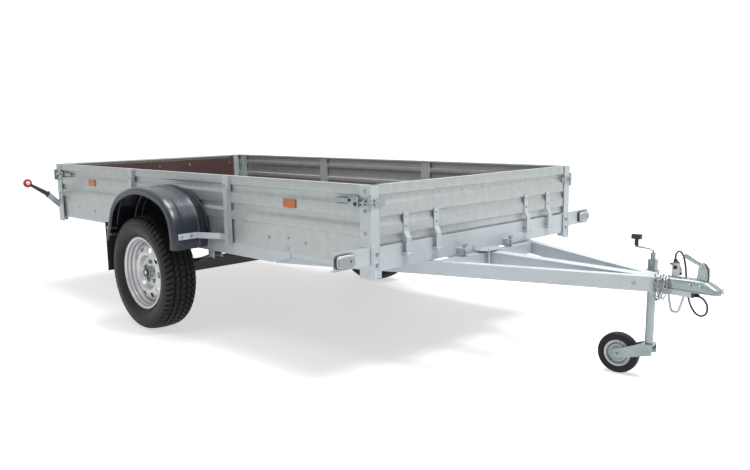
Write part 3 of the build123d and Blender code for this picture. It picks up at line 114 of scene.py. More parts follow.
def piece(name, grids, finish, body=None, stands_for=(), wrap=open_sheet, thick=0.0, ends=False,
          bevel=0.0, crease=40, holes=None):
    """One mesh of several grids of points (rows, columns, xyz): its doubles are merged, open ends are
    filled where ends is true, and faces point outwards. crease is the angle, in degrees, over which an
    edge stays sharp. A cell whose four corners all lie in holes is left out. wrap says whether the rows
    and the columns close on themselves."""
    points, faces, start = [], [], 0
    for grid in grids if isinstance(grids, list) else [grids]:
        grid = np.asarray(grid, float)
        cells = grid_faces(grid.shape[0], grid.shape[1], *wrap)
        if holes is not None:
            cells = cells[~holes.reshape(-1)[cells].all(1)]
        faces.append(cells + start)
        points.append(grid.reshape(-1, 3))
        start += grid.shape[0] * grid.shape[1]
    mesh = bpy.data.meshes.new(name)
    mesh.from_pydata(np.vstack(points), [], np.vstack(faces))
    work = bmesh.new()
    work.from_mesh(mesh)
    bmesh.ops.delete(work, geom=[v for v in work.verts if not v.link_faces], context="VERTS")
    bmesh.ops.remove_doubles(work, verts=work.verts, dist=2e-6)
    bmesh.ops.dissolve_degenerate(work, edges=work.edges, dist=2e-6)
    if ends:
        bmesh.ops.holes_fill(work, edges=[edge for edge in work.edges if edge.is_boundary], sides=0)
    bmesh.ops.recalc_face_normals(work, faces=work.faces)
    work.to_mesh(mesh)
    work.free()
    mesh.shade_smooth()
    mesh.set_sharp_from_angle(angle=math.radians(crease))
    mesh.materials.append(finish.material)
    made = bpy.data.objects.new(name, mesh)
    bpy.context.scene.collection.objects.link(made)
    if thick:
        wall = made.modifiers.new("wall", "SOLIDIFY")
        wall.thickness = thick
        wall.offset = -1
    if bevel:
        edge = made.modifiers.new("edge", "BEVEL")
        edge.width = bevel
        edge.segments = 2
        edge.limit_method = "ANGLE"
    if body:
        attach(made, body)
    if stands_for:
        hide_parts(*stands_for)
    return made


class Finish:
    """A finish being mixed. Every pattern reads the piece's own Object coordinates, in metres."""

    def __init__(self, name, colour, roughness, metallic=0.0, **sockets):
        self.material = bpy.data.materials.new(name)
        self.material.use_nodes = True
        self.nodes = self.material.node_tree.nodes
        self.links = self.material.node_tree.links
        self.shader = self.nodes["Principled BSDF"]
        self.fill(self.shader, Base_Color=(*colour, 1), Roughness=roughness, Metallic=metallic, **sockets)
        self.colour = self.normal = None
        self.place = self.nodes.new("ShaderNodeTexCoord").outputs["Object"]

    def fill(self, node, **sockets):
        """Fills a node's named sockets, each with a number, a colour or another node's output."""
        for name, value in sockets.items():
            socket = node.inputs[name.replace("_", " ")]
            if isinstance(value, bpy.types.NodeSocket):
                self.links.new(value, socket)
            else:
                socket.default_value = value
        return node

    def node(self, kind, **sockets):
        """A new node, with its sockets filled."""
        return self.fill(self.nodes.new(kind), **sockets)

    def stretched(self, stretch=(1, 1, 1)):
        """Object coordinates, scaled along each axis."""
        return self.node("ShaderNodeMapping", Scale=stretch, Vector=self.place).outputs["Vector"]

    def noise(self, scale, detail=3.0, stretch=(1, 1, 1)):
        """Soft random pattern, from 0 to 1."""
        place = self.stretched(stretch)
        return self.node("ShaderNodeTexNoise", Scale=scale, Detail=detail, Vector=place).outputs["Fac"]

    def cells(self, scale, output="Distance"):
        """Crystal-like cells; the Color output is one random tone to a cell."""
        return self.node("ShaderNodeTexVoronoi", Scale=scale, Vector=self.stretched()).outputs[output]

    def wave(self, scale, direction):
        """Even stripes across one axis."""
        node = self.node("ShaderNodeTexWave", Scale=scale, Vector=self.place)
        node.bands_direction = direction
        return node.outputs["Fac"]

    def axis(self, which):
        """One coordinate of the piece, in metres."""
        return self.node("ShaderNodeSeparateXYZ", Vector=self.place).outputs[which]

    def spread(self, value, start, end, low=0.0, high=1.0):
        """A pattern's values from start to end, spread over low to high."""
        limits = {"From_Min": start, "From_Max": end, "To_Min": low, "To_Max": high}
        return self.node("ShaderNodeMapRange", Value=value, **limits).outputs["Result"]

    def combined(self, first, second, how="MULTIPLY"):
        """Two patterns joined value by value."""
        node = self.nodes.new("ShaderNodeMath")
        node.operation = how
        self.links.new(first, node.inputs[0])
        self.links.new(second, node.inputs[1])
        return node.outputs[0]

    def tint(self, amount, colour):
        """Lays a colour over what is there, as strongly as the pattern says."""
        node = self.nodes.new("ShaderNodeMix")
        node.data_type = "RGBA"
        base, over, out = node.inputs[6], node.inputs[7], node.outputs[2]
        base.default_value = self.shader.inputs["Base Color"].default_value
        if self.colour:
            self.links.new(self.colour, base)
        over.default_value = (*colour, 1)
        self.links.new(amount, node.inputs["Factor"])
        self.links.new(out, self.shader.inputs["Base Color"])
        self.colour = out
        return self

    def mottled(self, scale, detail, start, end, most, colour):
        """Patches of a colour, where soft noise lies between start and end, at most so strong."""
        return self.tint(self.spread(self.noise(scale, detail), start, end, 0, most), colour)

    def rough(self, value, low, high):
        """Lets a pattern move the roughness between low and high."""
        self.links.new(self.spread(value, 0.0, 1.0, low, high), self.shader.inputs["Roughness"])
        return self

    def worn(self, scale, detail, low, high):
        """Roughness that soft noise moves between low and high."""
        return self.rough(self.noise(scale, detail), low, high)

    def bump(self, height, depth, strength=1.0):
        """Relief as high as depth, in metres, where the pattern is 1."""
        node = self.node("ShaderNodeBump", Strength=strength, Distance=depth, Height=height)
        if self.normal:
            self.links.new(self.normal, node.inputs["Normal"])
        self.normal = node.outputs["Normal"]
        self.links.new(self.normal, self.shader.inputs["Normal"])
        return self

    def grained(self, scale, detail, depth, strength):
        """Relief of soft noise."""
        return self.bump(self.noise(scale, detail), depth, strength)


def finish_nodes(finish, *names):
    """Gives CAD nodes a finish in place of their plain one."""
    for name in names:
        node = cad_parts[name]
        node.data.materials.clear()
        node.data.materials.append(finish.material)


floor_paint = Finish("studio floor", (0.66, 0.66, 0.67), 0.7, Emission_Color=(1, 1, 1, 1))
floor_ray = floor_paint.nodes.new("ShaderNodeLightPath").outputs
seen = floor_paint.combined(floor_ray["Is Camera Ray"], floor_ray["Is Glossy Ray"], "MAXIMUM")
seen = floor_paint.combined(seen, floor_ray["Is Transmission Ray"], "MAXIMUM")
floor_paint.tint(floor_paint.spread(floor_paint.noise(3), 0, 1, 0.0, 0.01), (0.9, 0.9, 0.92))
from_middle = floor_paint.nodes.new("ShaderNodeVectorMath")
from_middle.operation = "LENGTH"
floor_paint.links.new(floor_paint.stretched((0.55, 1, 0)), from_middle.inputs[0])
glow = floor_paint.spread(from_middle.outputs["Value"], 1.3, 2.6, 0.60, 0.95)
floor_paint.fill(floor_paint.shader, Emission_Strength=floor_paint.combined(seen, glow))
reach = np.array([-40.0, 40.0])


def together(x, y, z):
    """Points whose coordinates are given one by one, spread over one grid."""
    return np.stack(np.broadcast_arrays(x, y, z), -1)


floor_grid = together(reach[:, None], reach[None, :], -0.0005)
floor = piece("studio_floor", floor_grid, floor_paint)

# ---- Side walls of the load box
# Cold-rolled galvanised sheet, 2 mm thick, with two ribs pressed outwards between three
# shallow recesses and its top edge folded in as a flat hem. The sheets are bolted to the posts.
box_middle = -0.540
hands = ((-1, "right"), (1, "left"))
wall_out = 0.750
rim = 0.850
sheet = 0.002
pressed = 0.009
wall_bends = [
    # below the rim, behind the outer face
    (0.043, 0), (0.045, pressed), (0.069, pressed), (0.083, 0), (0.134, 0),
    (0.136, pressed), (0.159, pressed), (0.173, 0), (0.213, 0), (0.215, pressed),
]


def rounded(points, radius, steps=5):
    """Path through points, with each corner replaced by a quadratic curve that begins and ends
    radius before and after it, or at 45% of the shorter run where that is less."""
    points = np.asarray(points, float)
    back, ahead = points[:-2] - points[1:-1], points[2:] - points[1:-1]
    back_run = np.linalg.norm(back, axis=1, keepdims=True)
    ahead_run = np.linalg.norm(ahead, axis=1, keepdims=True)
    cut = np.minimum(radius, 0.45 * np.minimum(back_run, ahead_run))
    begin, end = points[1:-1] + back / back_run * cut, points[1:-1] + ahead / ahead_run * cut
    t = np.linspace(0, 1, steps)[:, None, None]
    curve = (1 - t) ** 2 * begin + 2 * t * (1 - t) * points[1:-1] + t ** 2 * end
    corners = curve.transpose(1, 0, 2).reshape(-1, points.shape[1])
    return np.vstack([points[:1], corners, points[-1:]])


def heading_of(path):
    """Unit vector along a path at each of its points."""
    way = np.gradient(path, axis=0)
    return way / np.linalg.norm(way, axis=1, keepdims=True)


def walled(path, thickness):
    """Closed section of a sheet: the path, and back along the same path moved sideways by thickness."""
    way = heading_of(path)
    side = np.stack([-way[:, 1], way[:, 0]], 1)
    return np.vstack([path, (path + side * thickness)[::-1]])


def wall_section(bottom, foot=0.0, hem=0.018):
    """Section of a ribbed wall as (behind, height): the hem's return, the hem, the ribs and recesses,
    and a foot turned in at the bottom where foot is not zero."""
    path = [(hem, rim - pressed), (hem, rim), (0.0, rim)]
    path += [(behind, rim - below) for below, behind in wall_bends]
    path.append((pressed, bottom))
    if foot:
        path.append((foot, bottom))
    return walled(rounded(path, 0.0025), sheet)


def extruded(section, place, stations):
    """A closed section carried straight: place turns each (a, b) of the section and each station into
    xyz, and gives one row to a station."""
    a, b = section[:, 0][None, :], section[:, 1][None, :]
    return together(*place(a, b, np.asarray(stations, float)[:, None]))


galvanised = Finish("galvanised sheet", (0.43, 0.46, 0.46), 0.25, 0.40)
tone = galvanised.noise(24, 3)
galvanised.tint(galvanised.spread(tone, 0.35, 0.65, 0.0, 0.25), (0.64, 0.67, 0.67))
streaks = galvanised.noise(5, 4, (0.25, 1, 1))
galvanised.tint(galvanised.spread(streaks, 0.40, 0.75, 0.0, 0.25), (0.47, 0.50, 0.50))
galvanised.rough(tone, 0.30, 0.40)
galvanised.grained(7, 1, 0.0006, 0.05)

side_section = wall_section(0.515)
for side, hand in hands:
    wall = extruded(
        side_section,
        lambda a, b, x, side=side: (x, side * (wall_out - a), b),
        box_middle + np.array([-1.496, -1.0, -0.5, 0.0, 0.5, 1.0, 1.496]),
    )
    piece(f"side_wall_{hand}", wall, galvanised, "bed", (f"side_panel_{hand}",), loop, ends=True)

# ---- Bolt heads, nuts and rivets of the box
# Zinc-plated coach and hexagon bolts hold the sheets and brackets to the posts and the frame;
# small blind rivets hold the stiffeners inside the gates.
def full_turn(steps):
    """Evenly spaced angles of one full turn."""
    return np.linspace(0, 2 * math.pi, steps, endpoint=False)


def turned(profile, steps=24):
    """Surface of revolution about Z: each (radius, height) of the profile carried round a full turn."""
    angle = full_turn(steps)[:, None]
    radius, height = np.asarray(profile, float).T
    return together(radius * np.cos(angle), radius * np.sin(angle), height)


def stood(grid, place, axis):
    """A grid turned so that its Z lies along axis, then moved to place."""
    w = np.asarray(axis, float) / np.linalg.norm(axis)
    helper = np.array([0, 0, 1.0]) if abs(w[2]) < 0.9 else np.array([1.0, 0, 0])
    u = np.cross(helper, w)
    u /= np.linalg.norm(u)
    return grid @ np.stack([u, np.cross(w, u), w]) + np.asarray(place, float)


def lathed(name, profile, steps, place, axis, finish, body, stands_for=(), wrap=lathe):
    """A piece turned about its axis, with its profile's origin at a place."""
    return piece(name, stood(turned(profile, steps), place, axis), finish, body, stands_for, wrap)


def hexagon_head(size, height):
    """Six-sided head on a round washer, half as thick."""
    washer = turned([(0, 0), (size * 0.98, 0), (size * 1.02, height * 0.2), (0, height * 0.22)], 24)
    head = turned([(0, height * 0.2), (size * 0.68, height * 0.2), (size * 0.68, height * 0.85),
                   (size * 0.58, height), (0, height * 1.02)], 6)
    return [washer, head]


def dome_head(size, height):
    """Flat dome, as on a coach bolt or a rivet."""
    rise = np.linspace(0, math.pi / 2, 6)
    return [turned(np.vstack([[(0, 0)], np.stack([size * np.cos(rise), height * np.sin(rise)], 1)]), 16)]


def bolts(name, head, places, axis, body):
    """One zinc-plated mesh of the same head standing at each place, along one axis."""
    grids = [stood(grid, place, axis) for place in places for grid in head]
    return piece(name, grids, zinc, body, wrap=lathe, crease=35)


zinc = Finish("zinc plate", (0.27, 0.32, 0.33), 0.24, 0.6)
zinc.mottled(14, 3, 0.35, 0.7, 0.6, (0.42, 0.47, 0.46)).worn(20, 2, 0.20, 0.34)
zinc.grained(40, 2, 0.0001, 0.1)

front, rear = box_middle + 1.5, box_middle - 1.5
low_bolts = [(0.56, 0.577), (0.815, 0.571), (0.957, 0.580), (1.078, 0.569), (0.954, 0.532),
             (-0.60, 0.571), (-1.0, 0.560), (-1.22, 0.571)]
for side, hand in hands:
    places = [(box_middle + x, side * (wall_out - pressed), z) for x, z in low_bolts]
    bolts(f"wall_bolts_{hand}", dome_head(0.0085, 0.005), places, (0, side, 0), "bed")

# ---- Corner posts and side stakes
# Folded angles of 4 mm galvanised steel at the corners, with fluted feet that reach below the
# frame, and hat-section stakes on each side. They are bolted through the walls.
post_steel = Finish("hot-dip galvanised steel", (0.54, 0.59, 0.62), 0.34, 0.35)
spangle = post_steel.cells(55, "Color")
post_steel.tint(post_steel.spread(spangle, 0.2, 1.0, 0.0, 0.30), (0.68, 0.72, 0.74))
post_steel.mottled(14, 5, 0.45, 0.8, 0.35, (0.44, 0.47, 0.48))
post_steel.rough(spangle, 0.36, 0.54)
post_steel.grained(60, 4, 0.0004, 0.35)
finish_nodes(post_steel, "corner_posts", "stakes")

for side, hand in hands:
    places = [(box_middle + end * 1.47, side * 0.754, z) for end in (-1, 1) for z in (0.825, 0.742, 0.652)]
    bolts(f"post_bolts_{hand}", dome_head(0.009, 0.005), places, (0, side, 0), "bed")
foot_bolts = [(0.725, 0.52), (0.725, 0.565)]
arm_bolts = [(0.722, 0.548), (0.742, 0.567)]
for way, hand, face, holes in ((1, "front", 1.507, foot_bolts), (-1, "rear", -1.514, arm_bolts)):
    places = [(box_middle + face, side * y, z) for side in (-1, 1) for y, z in holes]
    bolts(f"foot_bolts_{hand}", hexagon_head(0.009, 0.007), places, (way, 0, 0), "bed")
for side, hand in hands:
    places = [(box_middle + x, side * 0.768, z) for x in (0.5, -0.46) for z in (0.80, 0.64, 0.545)]
    bolts(f"stake_bolts_{hand}", dome_head(0.0075, 0.004), places, (0, side, 0), "bed")

# ---- Front gate and tailgate
# The same ribbed sheet as the sides, with a foot folded in along the bottom, a channel inside each
# end, and a keeper at each end that the latches hook into. Blind rivets hold the channels.
gate_half = 0.700
gate_section = wall_section(0.602, 0.026)
end_channel = walled(rounded([(0.011, 0.700), (0.035, 0.700), (0.035, 0.672), (0.011, 0.672)], 0.003), sheet)
keeper_blocks = [
    # near and far face from the gate's end, then its sides and its heights
    (0.0, 0.009, 0.677, 0.703, 0.766, 0.790),
    (0.007, 0.011, 0.694, 0.736, 0.762, 0.794),
]


def block(low, high):
    """Closed grid of a box between two corners: its outline, carried between the two heights."""
    (x0, y0, z0), (x1, y1, z1) = low, high
    outline = np.array([(x0, y0), (x1, y0), (x1, y1), (x0, y1)])
    middle = outline.mean(0)
    stations = [(middle, z0), (outline, z0), (outline, z1), (middle, z1)]
    return np.stack([np.hstack([np.broadcast_to(o, (4, 2)), np.full((4, 1), z)]) for o, z in stations])


stations = np.linspace(-gate_half, gate_half, 7)
for end, way, name in ((front, 1, "front_gate"), (rear, -1, "tailgate")):
    grids = [extruded(gate_section, lambda a, b, y, end=end, way=way: (end - way * a, y, b), stations)]
    for side in (-1, 1):
        def across(a, b, z, end=end, way=way, side=side):
            """Point of an end channel."""
            return end - way * a, side * b, z
        grids.append(extruded(end_channel, across, (0.604, 0.848)))
    piece(f"{name}_sheet", grids, galvanised, name, (f"{name}_panel",), loop, ends=True)
    blocks = []
    for side in (-1, 1):
        for near, far, y0, y1, z0, z1 in keeper_blocks:
            low, high = (end + way * near, side * y0, z0), (end + way * far, side * y1, z1)
            blocks.append(block(np.minimum(low, high), np.maximum(low, high)))
    piece(f"{name}_keepers", blocks, zinc, name, wrap=loop, bevel=0.0015, crease=30)
    places = [(end + way * 0.005, y, z) for y in (-0.348, -0.545, 0.348, 0.545) for z in (0.708, 0.665)]
    bolts(f"{name}_strap_bolts", dome_head(0.0065, 0.004), places, (way, 0, 0), name)
    rivets = [(end - way * 0.009, y, 0.790) for y in np.linspace(-0.62, 0.62, 9)]
    bolts(f"{name}_rivets", dome_head(0.0045, 0.0025), rivets, (way, 0, 0), name)

# ---- Plywood floor and tailgate lining
# Birch plywood, 12 and 9 mm thick, faced with dark brown phenolic film. The floor's film is pressed
# with a fine wire mesh against slipping. Bright screws hold both to the steel.
film = Finish("phenolic film", (0.055, 0.026, 0.024), 0.42, Coat_Weight=0.15, Coat_Roughness=0.3)
film.mottled(5, 5, 0.3, 0.75, 0.6, (0.085, 0.040, 0.036))
film.tint(film.spread(film.noise(90, 4, (1, 0.15, 1)), 0.5, 0.8, 0, 0.35), (0.035, 0.018, 0.017))
film.worn(20, 4, 0.34, 0.55).grained(220, 3, 0.0002, 0.4)
finish_nodes(film, "tailgate_lining")
mesh_film = Finish("wire-mesh phenolic film", (0.050, 0.025, 0.022), 0.5)
mesh_film.mottled(4, 5, 0.3, 0.75, 0.6, (0.080, 0.042, 0.036))
weave = mesh_film.combined(mesh_film.wave(62, "X"), mesh_film.wave(62, "Y"), "MAXIMUM")
mesh_film.rough(weave, 0.38, 0.62)
mesh_film.bump(weave, 0.0006, 0.6)
finish_nodes(mesh_film, "floor_panel")
lining_screws = [(rear + 0.044, y, z) for y in (-0.618, -0.255, 0.0, 0.255, 0.618) for z in (0.65, 0.790)]
bolts("lining_screws", dome_head(0.006, 0.0015), lining_screws, (1, 0, 0), "tailgate")
screw_rows = (-0.70, -0.35, 0, 0.35, 0.70)
floor_screws = [(box_middle + x, y, 0.607) for x in np.linspace(-1.44, 1.44, 8) for y in screw_rows]
bolts("floor_screws", dome_head(0.007, 0.0012), floor_screws, (0, 0, 1), "bed")

# ---- Frame, under-rails and drawbar steel
# Folded channels and square tube, hot-dip galvanised after welding: the finish is duller than the
# sheet's, with a larger spangle and faint runs.
finish_nodes(post_steel, "front_beam", "rear_beam", "side_frames", "cross_members", "under_rails",
             "v_rails", "centre_rail", "drawbar_cross_bar", "pivot_tube", "fender_stays", "lamp_brackets",
             "spring_hangers", "gate_hinge_brackets", "bed_lock_lugs", "front_gate_straps", "tailgate_straps",
             "hanger_loop", "plug_holder")
finish_nodes(zinc, "wing_bolts", "jockey_clamp", "jockey_outer_tube", "jockey_leg_tube",
             "jockey_crank", "jockey_fork_frame")
rail_bolt = [(box_middle + 2.287, -0.0695, 0.452)]
bolts("rail_bolt", hexagon_head(0.0085, 0.006), rail_bolt, (0.3, -1, 0), "drawbar")

# ---- Latches
# Die-cast toggle blocks on long backing plates, zinc plated: each pulls a hooked rod round its post
# into the gate's keeper, and a guide holds the rod on the post. The slots over the spring inside are
# painted shade: near-black boxes laid on the castings.
# Near-black painted shade, laid on the latch slots and on the front lamps' bulbs.
painted_shade_black = Finish("shadowed slot", (0.016, 0.016, 0.016), 0.7)
painted_shade_black.mottled(200, 3, 0.4, 0.8, 0.5, (0.04, 0.04, 0.04))


def softened(low, high, power=0.35, rows=14, columns=28):
    """Box with rounded edges: a superquadric, in which the sines and cosines of a sphere are raised to a
    power below 1, between two corners."""
    low, high = np.minimum(low, high).astype(float), np.maximum(low, high).astype(float)
    lift = np.linspace(-math.pi / 2, math.pi / 2, rows)[:, None]
    spin = full_turn(columns)[None]
    waves = np.cos(lift), np.sin(lift), np.cos(spin), np.sin(spin)
    out, rise, one, two = [np.sign(w) * np.abs(w) ** power for w in waves]
    unit = together(out * one, out * two, rise)
    return (low + high) / 2 + unit * (high - low) / 2


def tube(path, radius, across=None, steps=14):
    """Round bar carried along a path: a circle square to it, its radius given once or for each point.
    Where the path lies in one plane, across is that plane's normal."""
    path = np.asarray(path, float)
    way = heading_of(path)
    across = np.array([0, 1.0, 0]) if across is None else np.asarray(across, float)
    one = np.cross(way, across)
    one /= np.linalg.norm(one, axis=1, keepdims=True)
    two = np.cross(way, one)
    spin = full_turn(steps)[None, :, None]
    radius = np.broadcast_to(radius, len(path))[:, None, None]
    return path[:, None] + radius * (np.cos(spin) * one[:, None] + np.sin(spin) * two[:, None])


latch_parts = {
    # two opposite corners of each softened box, from the middle of the load box, and its power
    "castings": (((1.386, 0.760, 0.759), (1.450, 0.7755, 0.798), 0.3),
                 ((1.283, 0.754, 0.772), (1.384, 0.7605, 0.792), 0.3)),
    "slots": (((1.392, 0.771, 0.779), (1.410, 0.7765, 0.793), 0.4),
              ((1.424, 0.771, 0.764), (1.444, 0.7765, 0.780), 0.4)),
    "guides": (((1.462, 0.753, 0.762), (1.504, 0.758, 0.796), 0.3),
               ((1.466, 0.755, 0.768), (1.482, 0.772, 0.788), 0.4),
               ((1.5005, 0.752, 0.742), (1.5065, 0.772, 0.812), 0.3)),
}
hook = rounded([(1.440, 0.7645, 0.778), (1.512, 0.7645, 0.778), (1.512, 0.735, 0.778)], 0.008)
corners = [np.array([end, side, 1.0]) for end in (1, -1) for side in (-1, 1)]
middle_point = np.array([box_middle, 0, 0])


def latch_grids(part):
    """A latch part's softened boxes, mirrored to each corner of the load box."""
    return [softened(middle_point + turned_to * low, middle_point + turned_to * high, power)
            for turned_to in corners for low, high, power in latch_parts[part]]


rods = [tube(middle_point + turned_to * hook, 0.0048, (0, 0, 1.0)) for turned_to in corners]
piece("latch_castings", latch_grids("castings"), zinc, "bed", ("latches",), loop)
piece("latch_rods", rods, zinc, "bed", wrap=loop, ends=True)
# The latch slots are near-black boxes of painted shade on the castings.
piece("latch_slots", latch_grids("slots"), painted_shade_black, "bed", wrap=loop)
piece("latch_guides", latch_grids("guides"), zinc, "bed", wrap=loop)

# ---- Axle, leaf springs and clamps
# A square beam axle with stub ends on two three-leaf springs, clamped by U-bolts: all brushed with
# black chassis paint, a little dusty and rough.
chassis_paint = Finish("black chassis paint", (0.020, 0.020, 0.022), 0.45, Coat_Weight=0.15,
                       Coat_Roughness=0.4)
chassis_paint.mottled(18, 5, 0.4, 0.8, 0.5, (0.040, 0.039, 0.038)).worn(45, 4, 0.36, 0.60)
chassis_paint.grained(150, 3, 0.0003, 0.4)
finish_nodes(chassis_paint, "axle_beam", "leaf_springs", "spring_clamps")

# ---- Tyres
# Van radials, 185 mm wide and 620 mm high, of near-black rubber: four main grooves, slanted sipes
# and slotted shoulders are moulded in. Each is seated on its rim and turns with the wheel.
wheel_x, wheel_y, wheel_z = box_middle - 0.080, 0.860, 0.310


def flowing(points, steps=12):
    """Path through points, each run a cubic that leaves a point in line with its two neighbours."""
    points = np.asarray(points, float)
    longer = np.vstack([2 * points[0] - points[1], points, 2 * points[-1] - points[-2]])
    before, start, end, after = longer[:-3], longer[1:-2], longer[2:-1], longer[3:]
    t = np.linspace(0, 1, steps, endpoint=False)[:, None, None]
    bend = 2 * before - 5 * start + 4 * end - after
    twist = 3 * start - before - 3 * end + after
    curve = 0.5 * (2 * start + (end - before) * t + bend * t ** 2 + twist * t ** 3)
    return np.vstack([curve.transpose(1, 0, 2).reshape(-1, points.shape[1]), points[-1:]])


def spaced(path, shares):
    """Points of a path at the given shares of its length."""
    run = np.concatenate([[0], np.cumsum(np.linalg.norm(np.diff(path, axis=0), axis=1))])
    return np.stack([np.interp(np.asarray(shares) * run[-1], run, column) for column in path.T], 1)


def dent(distance, half, edge):
    """1 within half of a line, falling to 0 over edge."""
    return np.clip((half + edge - np.abs(distance)) / edge, 0, 1)


def tyre(side):
    """Section (across, radius) carried round the axle. Grooves, sipes and shoulder slots sink it along
    its own normal by the deepest of their dents; rings on the sidewall raise it."""
    half = np.array([(0.0625, 0.186), (0.066, 0.199), (0.084, 0.222), (0.0925, 0.248), (0.0905, 0.272),
                     (0.084, 0.293), (0.066, 0.304), (0.035, 0.3085), (0.0, wheel_z)])
    outer = flowing(np.vstack([half * (-1, 1), half[-2::-1]]), 30)
    walls = np.linspace(0, 0.28, 30, endpoint=False), np.linspace(0.72, 1, 31)[1:]
    outer = spaced(outer, np.concatenate([walls[0], np.linspace(0.28, 0.72, 86), walls[1]]))
    way = heading_of(outer)
    normal = np.stack([-way[:, 1], way[:, 0]], 1)
    across, radius = outer[:, 0][None], outer[:, 1][None]
    angle = full_turn(540)[:, None]

    def pitch(count, slant):
        """Distance round the tread from the nearest of count slanted lines."""
        share = (angle * count / (2 * math.pi) + across * slant) % 1 - 0.5
        return share * 2 * math.pi * wheel_z / count

    grooves = [dent(abs(across) - middle, 0.0028, 0.0015) for middle in (0.018, 0.050)]
    main = 0.008 * np.maximum(*grooves)
    shoulder = (abs(across) > 0.053) & (radius > 0.282)
    slots = 0.007 * dent(pitch(60, 14 * np.sign(across)), 0.0024, 0.0014) * shoulder
    sipes = 0.006 * dent(pitch(60, 30 * np.sign(across)), 0.0016, 0.0014) * (abs(across) < 0.047)
    raised = 0.0012 * dent(radius - 0.216, 0.003, 0.002) + 0.0009 * dent(radius - 0.262, 0.002, 0.002)
    fins = 0.0005 * (np.sin(angle * 80) > 0) * dent(radius - 0.239, 0.009, 0.002)
    rise = (raised + fins) * (abs(across) > 0.07) - np.maximum(np.maximum(main, slots), sipes)
    lining = np.array([(0.052, 0.194), (0.072, 0.222), (0.080, 0.248), (0.074, 0.276), (0.050, 0.290),
                       (0.0, 0.294)])
    inner = flowing(np.vstack([lining, lining[-2::-1] * (-1, 1)]), 3)
    ring = np.ones_like(angle)
    a = np.hstack([across + normal[:, 0] * rise, ring * inner[:, 0]])
    r = np.hstack([radius + normal[:, 1] * rise, ring * inner[:, 1]])
    return np.stack([wheel_x + r * np.cos(angle), side * wheel_y + a, wheel_z + r * np.sin(angle)], -1)


rubber = Finish("tyre rubber", (0.006, 0.006, 0.007), 0.46, Specular_IOR_Level=0.28)
rubber.mottled(24, 5, 0.4, 0.8, 0.45, (0.018, 0.018, 0.019)).worn(60, 4, 0.40, 0.62)
rubber.grained(420, 3, 0.00025, 0.35)
for side, hand in hands:
    body = f"wheel_{hand}"
    piece(f"road_tyre_{hand}", tyre(side), rubber, body, (f"tyre_{hand}",), both_ways, crease=32)

# ---- Rims
# Pressed steel wheels in silver paint: a rolled barrel, and a dished disc with ten vents welded
# inside it. Five bolts hold each to its hub, under a grease cap.
silver = Finish("silver wheel paint", (0.60, 0.61, 0.62), 0.32, 0.45, Coat_Weight=0.3, Coat_Roughness=0.2)
silver.mottled(30, 4, 0.4, 0.8, 0.35, (0.52, 0.525, 0.53)).worn(80, 3, 0.26, 0.42)
silver.grained(700, 2, 0.00006, 0.4)
vent_count, vent_circle, vent_power = 10, 0.128, 3.5
bolt_circle = 0.056


def wheel_point(across, radius, angle, side):
    """Point of a wheel: across is measured from its middle, negative on the outer side."""
    x, z = wheel_x + radius * np.cos(angle), wheel_z + radius * np.sin(angle)
    return together(x, side * (wheel_y - across), z)


def vented_disc(side):
    """Dished profile carried round the axle. Near each vent the grid moves out to a rounded wedge,
    where |u / width| and |v / height| to one power add up to 1, and what is inside is left out."""
    profile = rounded([(-0.014, 0.032), (-0.014, 0.078), (-0.040, 0.092), (-0.044, 0.104), (-0.036, 0.140),
                       (-0.016, 0.158), (-0.010, 0.1665)], 0.007, 6)
    rows = spaced(profile, np.linspace(0, 1, 56))
    angle = full_turn(400)[:, None]
    radius = rows[:, 1][None]
    step = 2 * math.pi / vent_count
    middle = np.round(angle / step) * step
    u, v = (angle - middle) * radius, radius - vent_circle
    fill = (abs(u) / (0.0165 + 0.16 * v)) ** vent_power + (abs(v) / 0.0135) ** vent_power
    out = np.where(fill < 1, np.maximum(fill, 0.02) ** (-1 / vent_power), 1.0)
    radius = vent_circle + v * out
    angle = middle + u * out / radius
    across = np.interp(radius, profile[:, 1], profile[:, 0])
    return wheel_point(across, radius, angle, side), fill < 1


barrel = walled(rounded([(-0.066, 0.196), (-0.068, 0.191), (-0.063, 0.184), (-0.050, 0.183), (-0.046, 0.1775),
                         (-0.030, 0.1765), (-0.022, 0.168), (0.022, 0.168), (0.034, 0.181), (0.056, 0.183),
                         (0.064, 0.186), (0.067, 0.196)], 0.004), -0.003)
round_wheel = full_turn(160)[:, None]
cap_profile = [(0, 0.0405), (0.010, 0.0402), (0.018, 0.0385), (0.0215, 0.036), (0.0235, 0.031),
               (0.0250, 0.0285), (0.0290, 0.027), (0.0305, 0.024), (0.0305, 0.004), (0.034, 0.0), (0, 0)]
for side, hand in hands:
    body = f"wheel_{hand}"
    ring = wheel_point(barrel[:, 0][None], barrel[:, 1][None], round_wheel, side)
    piece(f"rim_barrel_{hand}", ring, silver, body, (f"rim_{hand}",), both_ways)
    disc, vents = vented_disc(side)
    piece(f"rim_disc_{hand}", disc, silver, body, wrap=lathe, thick=0.004, holes=vents)
    hub_face = side * (wheel_y + 0.009)
    lathed(f"grease_cap_{hand}", cap_profile, 40, (wheel_x, hub_face, wheel_z), (0, side, 0), silver, body)
    spin = np.radians(90 + 72 * np.arange(5))
    x, z = wheel_x + bolt_circle * np.cos(spin), wheel_z + bolt_circle * np.sin(spin)
    places = np.stack([x, np.full(5, hub_face + side * 0.005), z], 1)
    bolts(f"wheel_bolts_{hand}", hexagon_head(0.0165, 0.0155), places, (0, side, 0), body)
finish_nodes(chassis_paint, "hub_right", "hub_left")

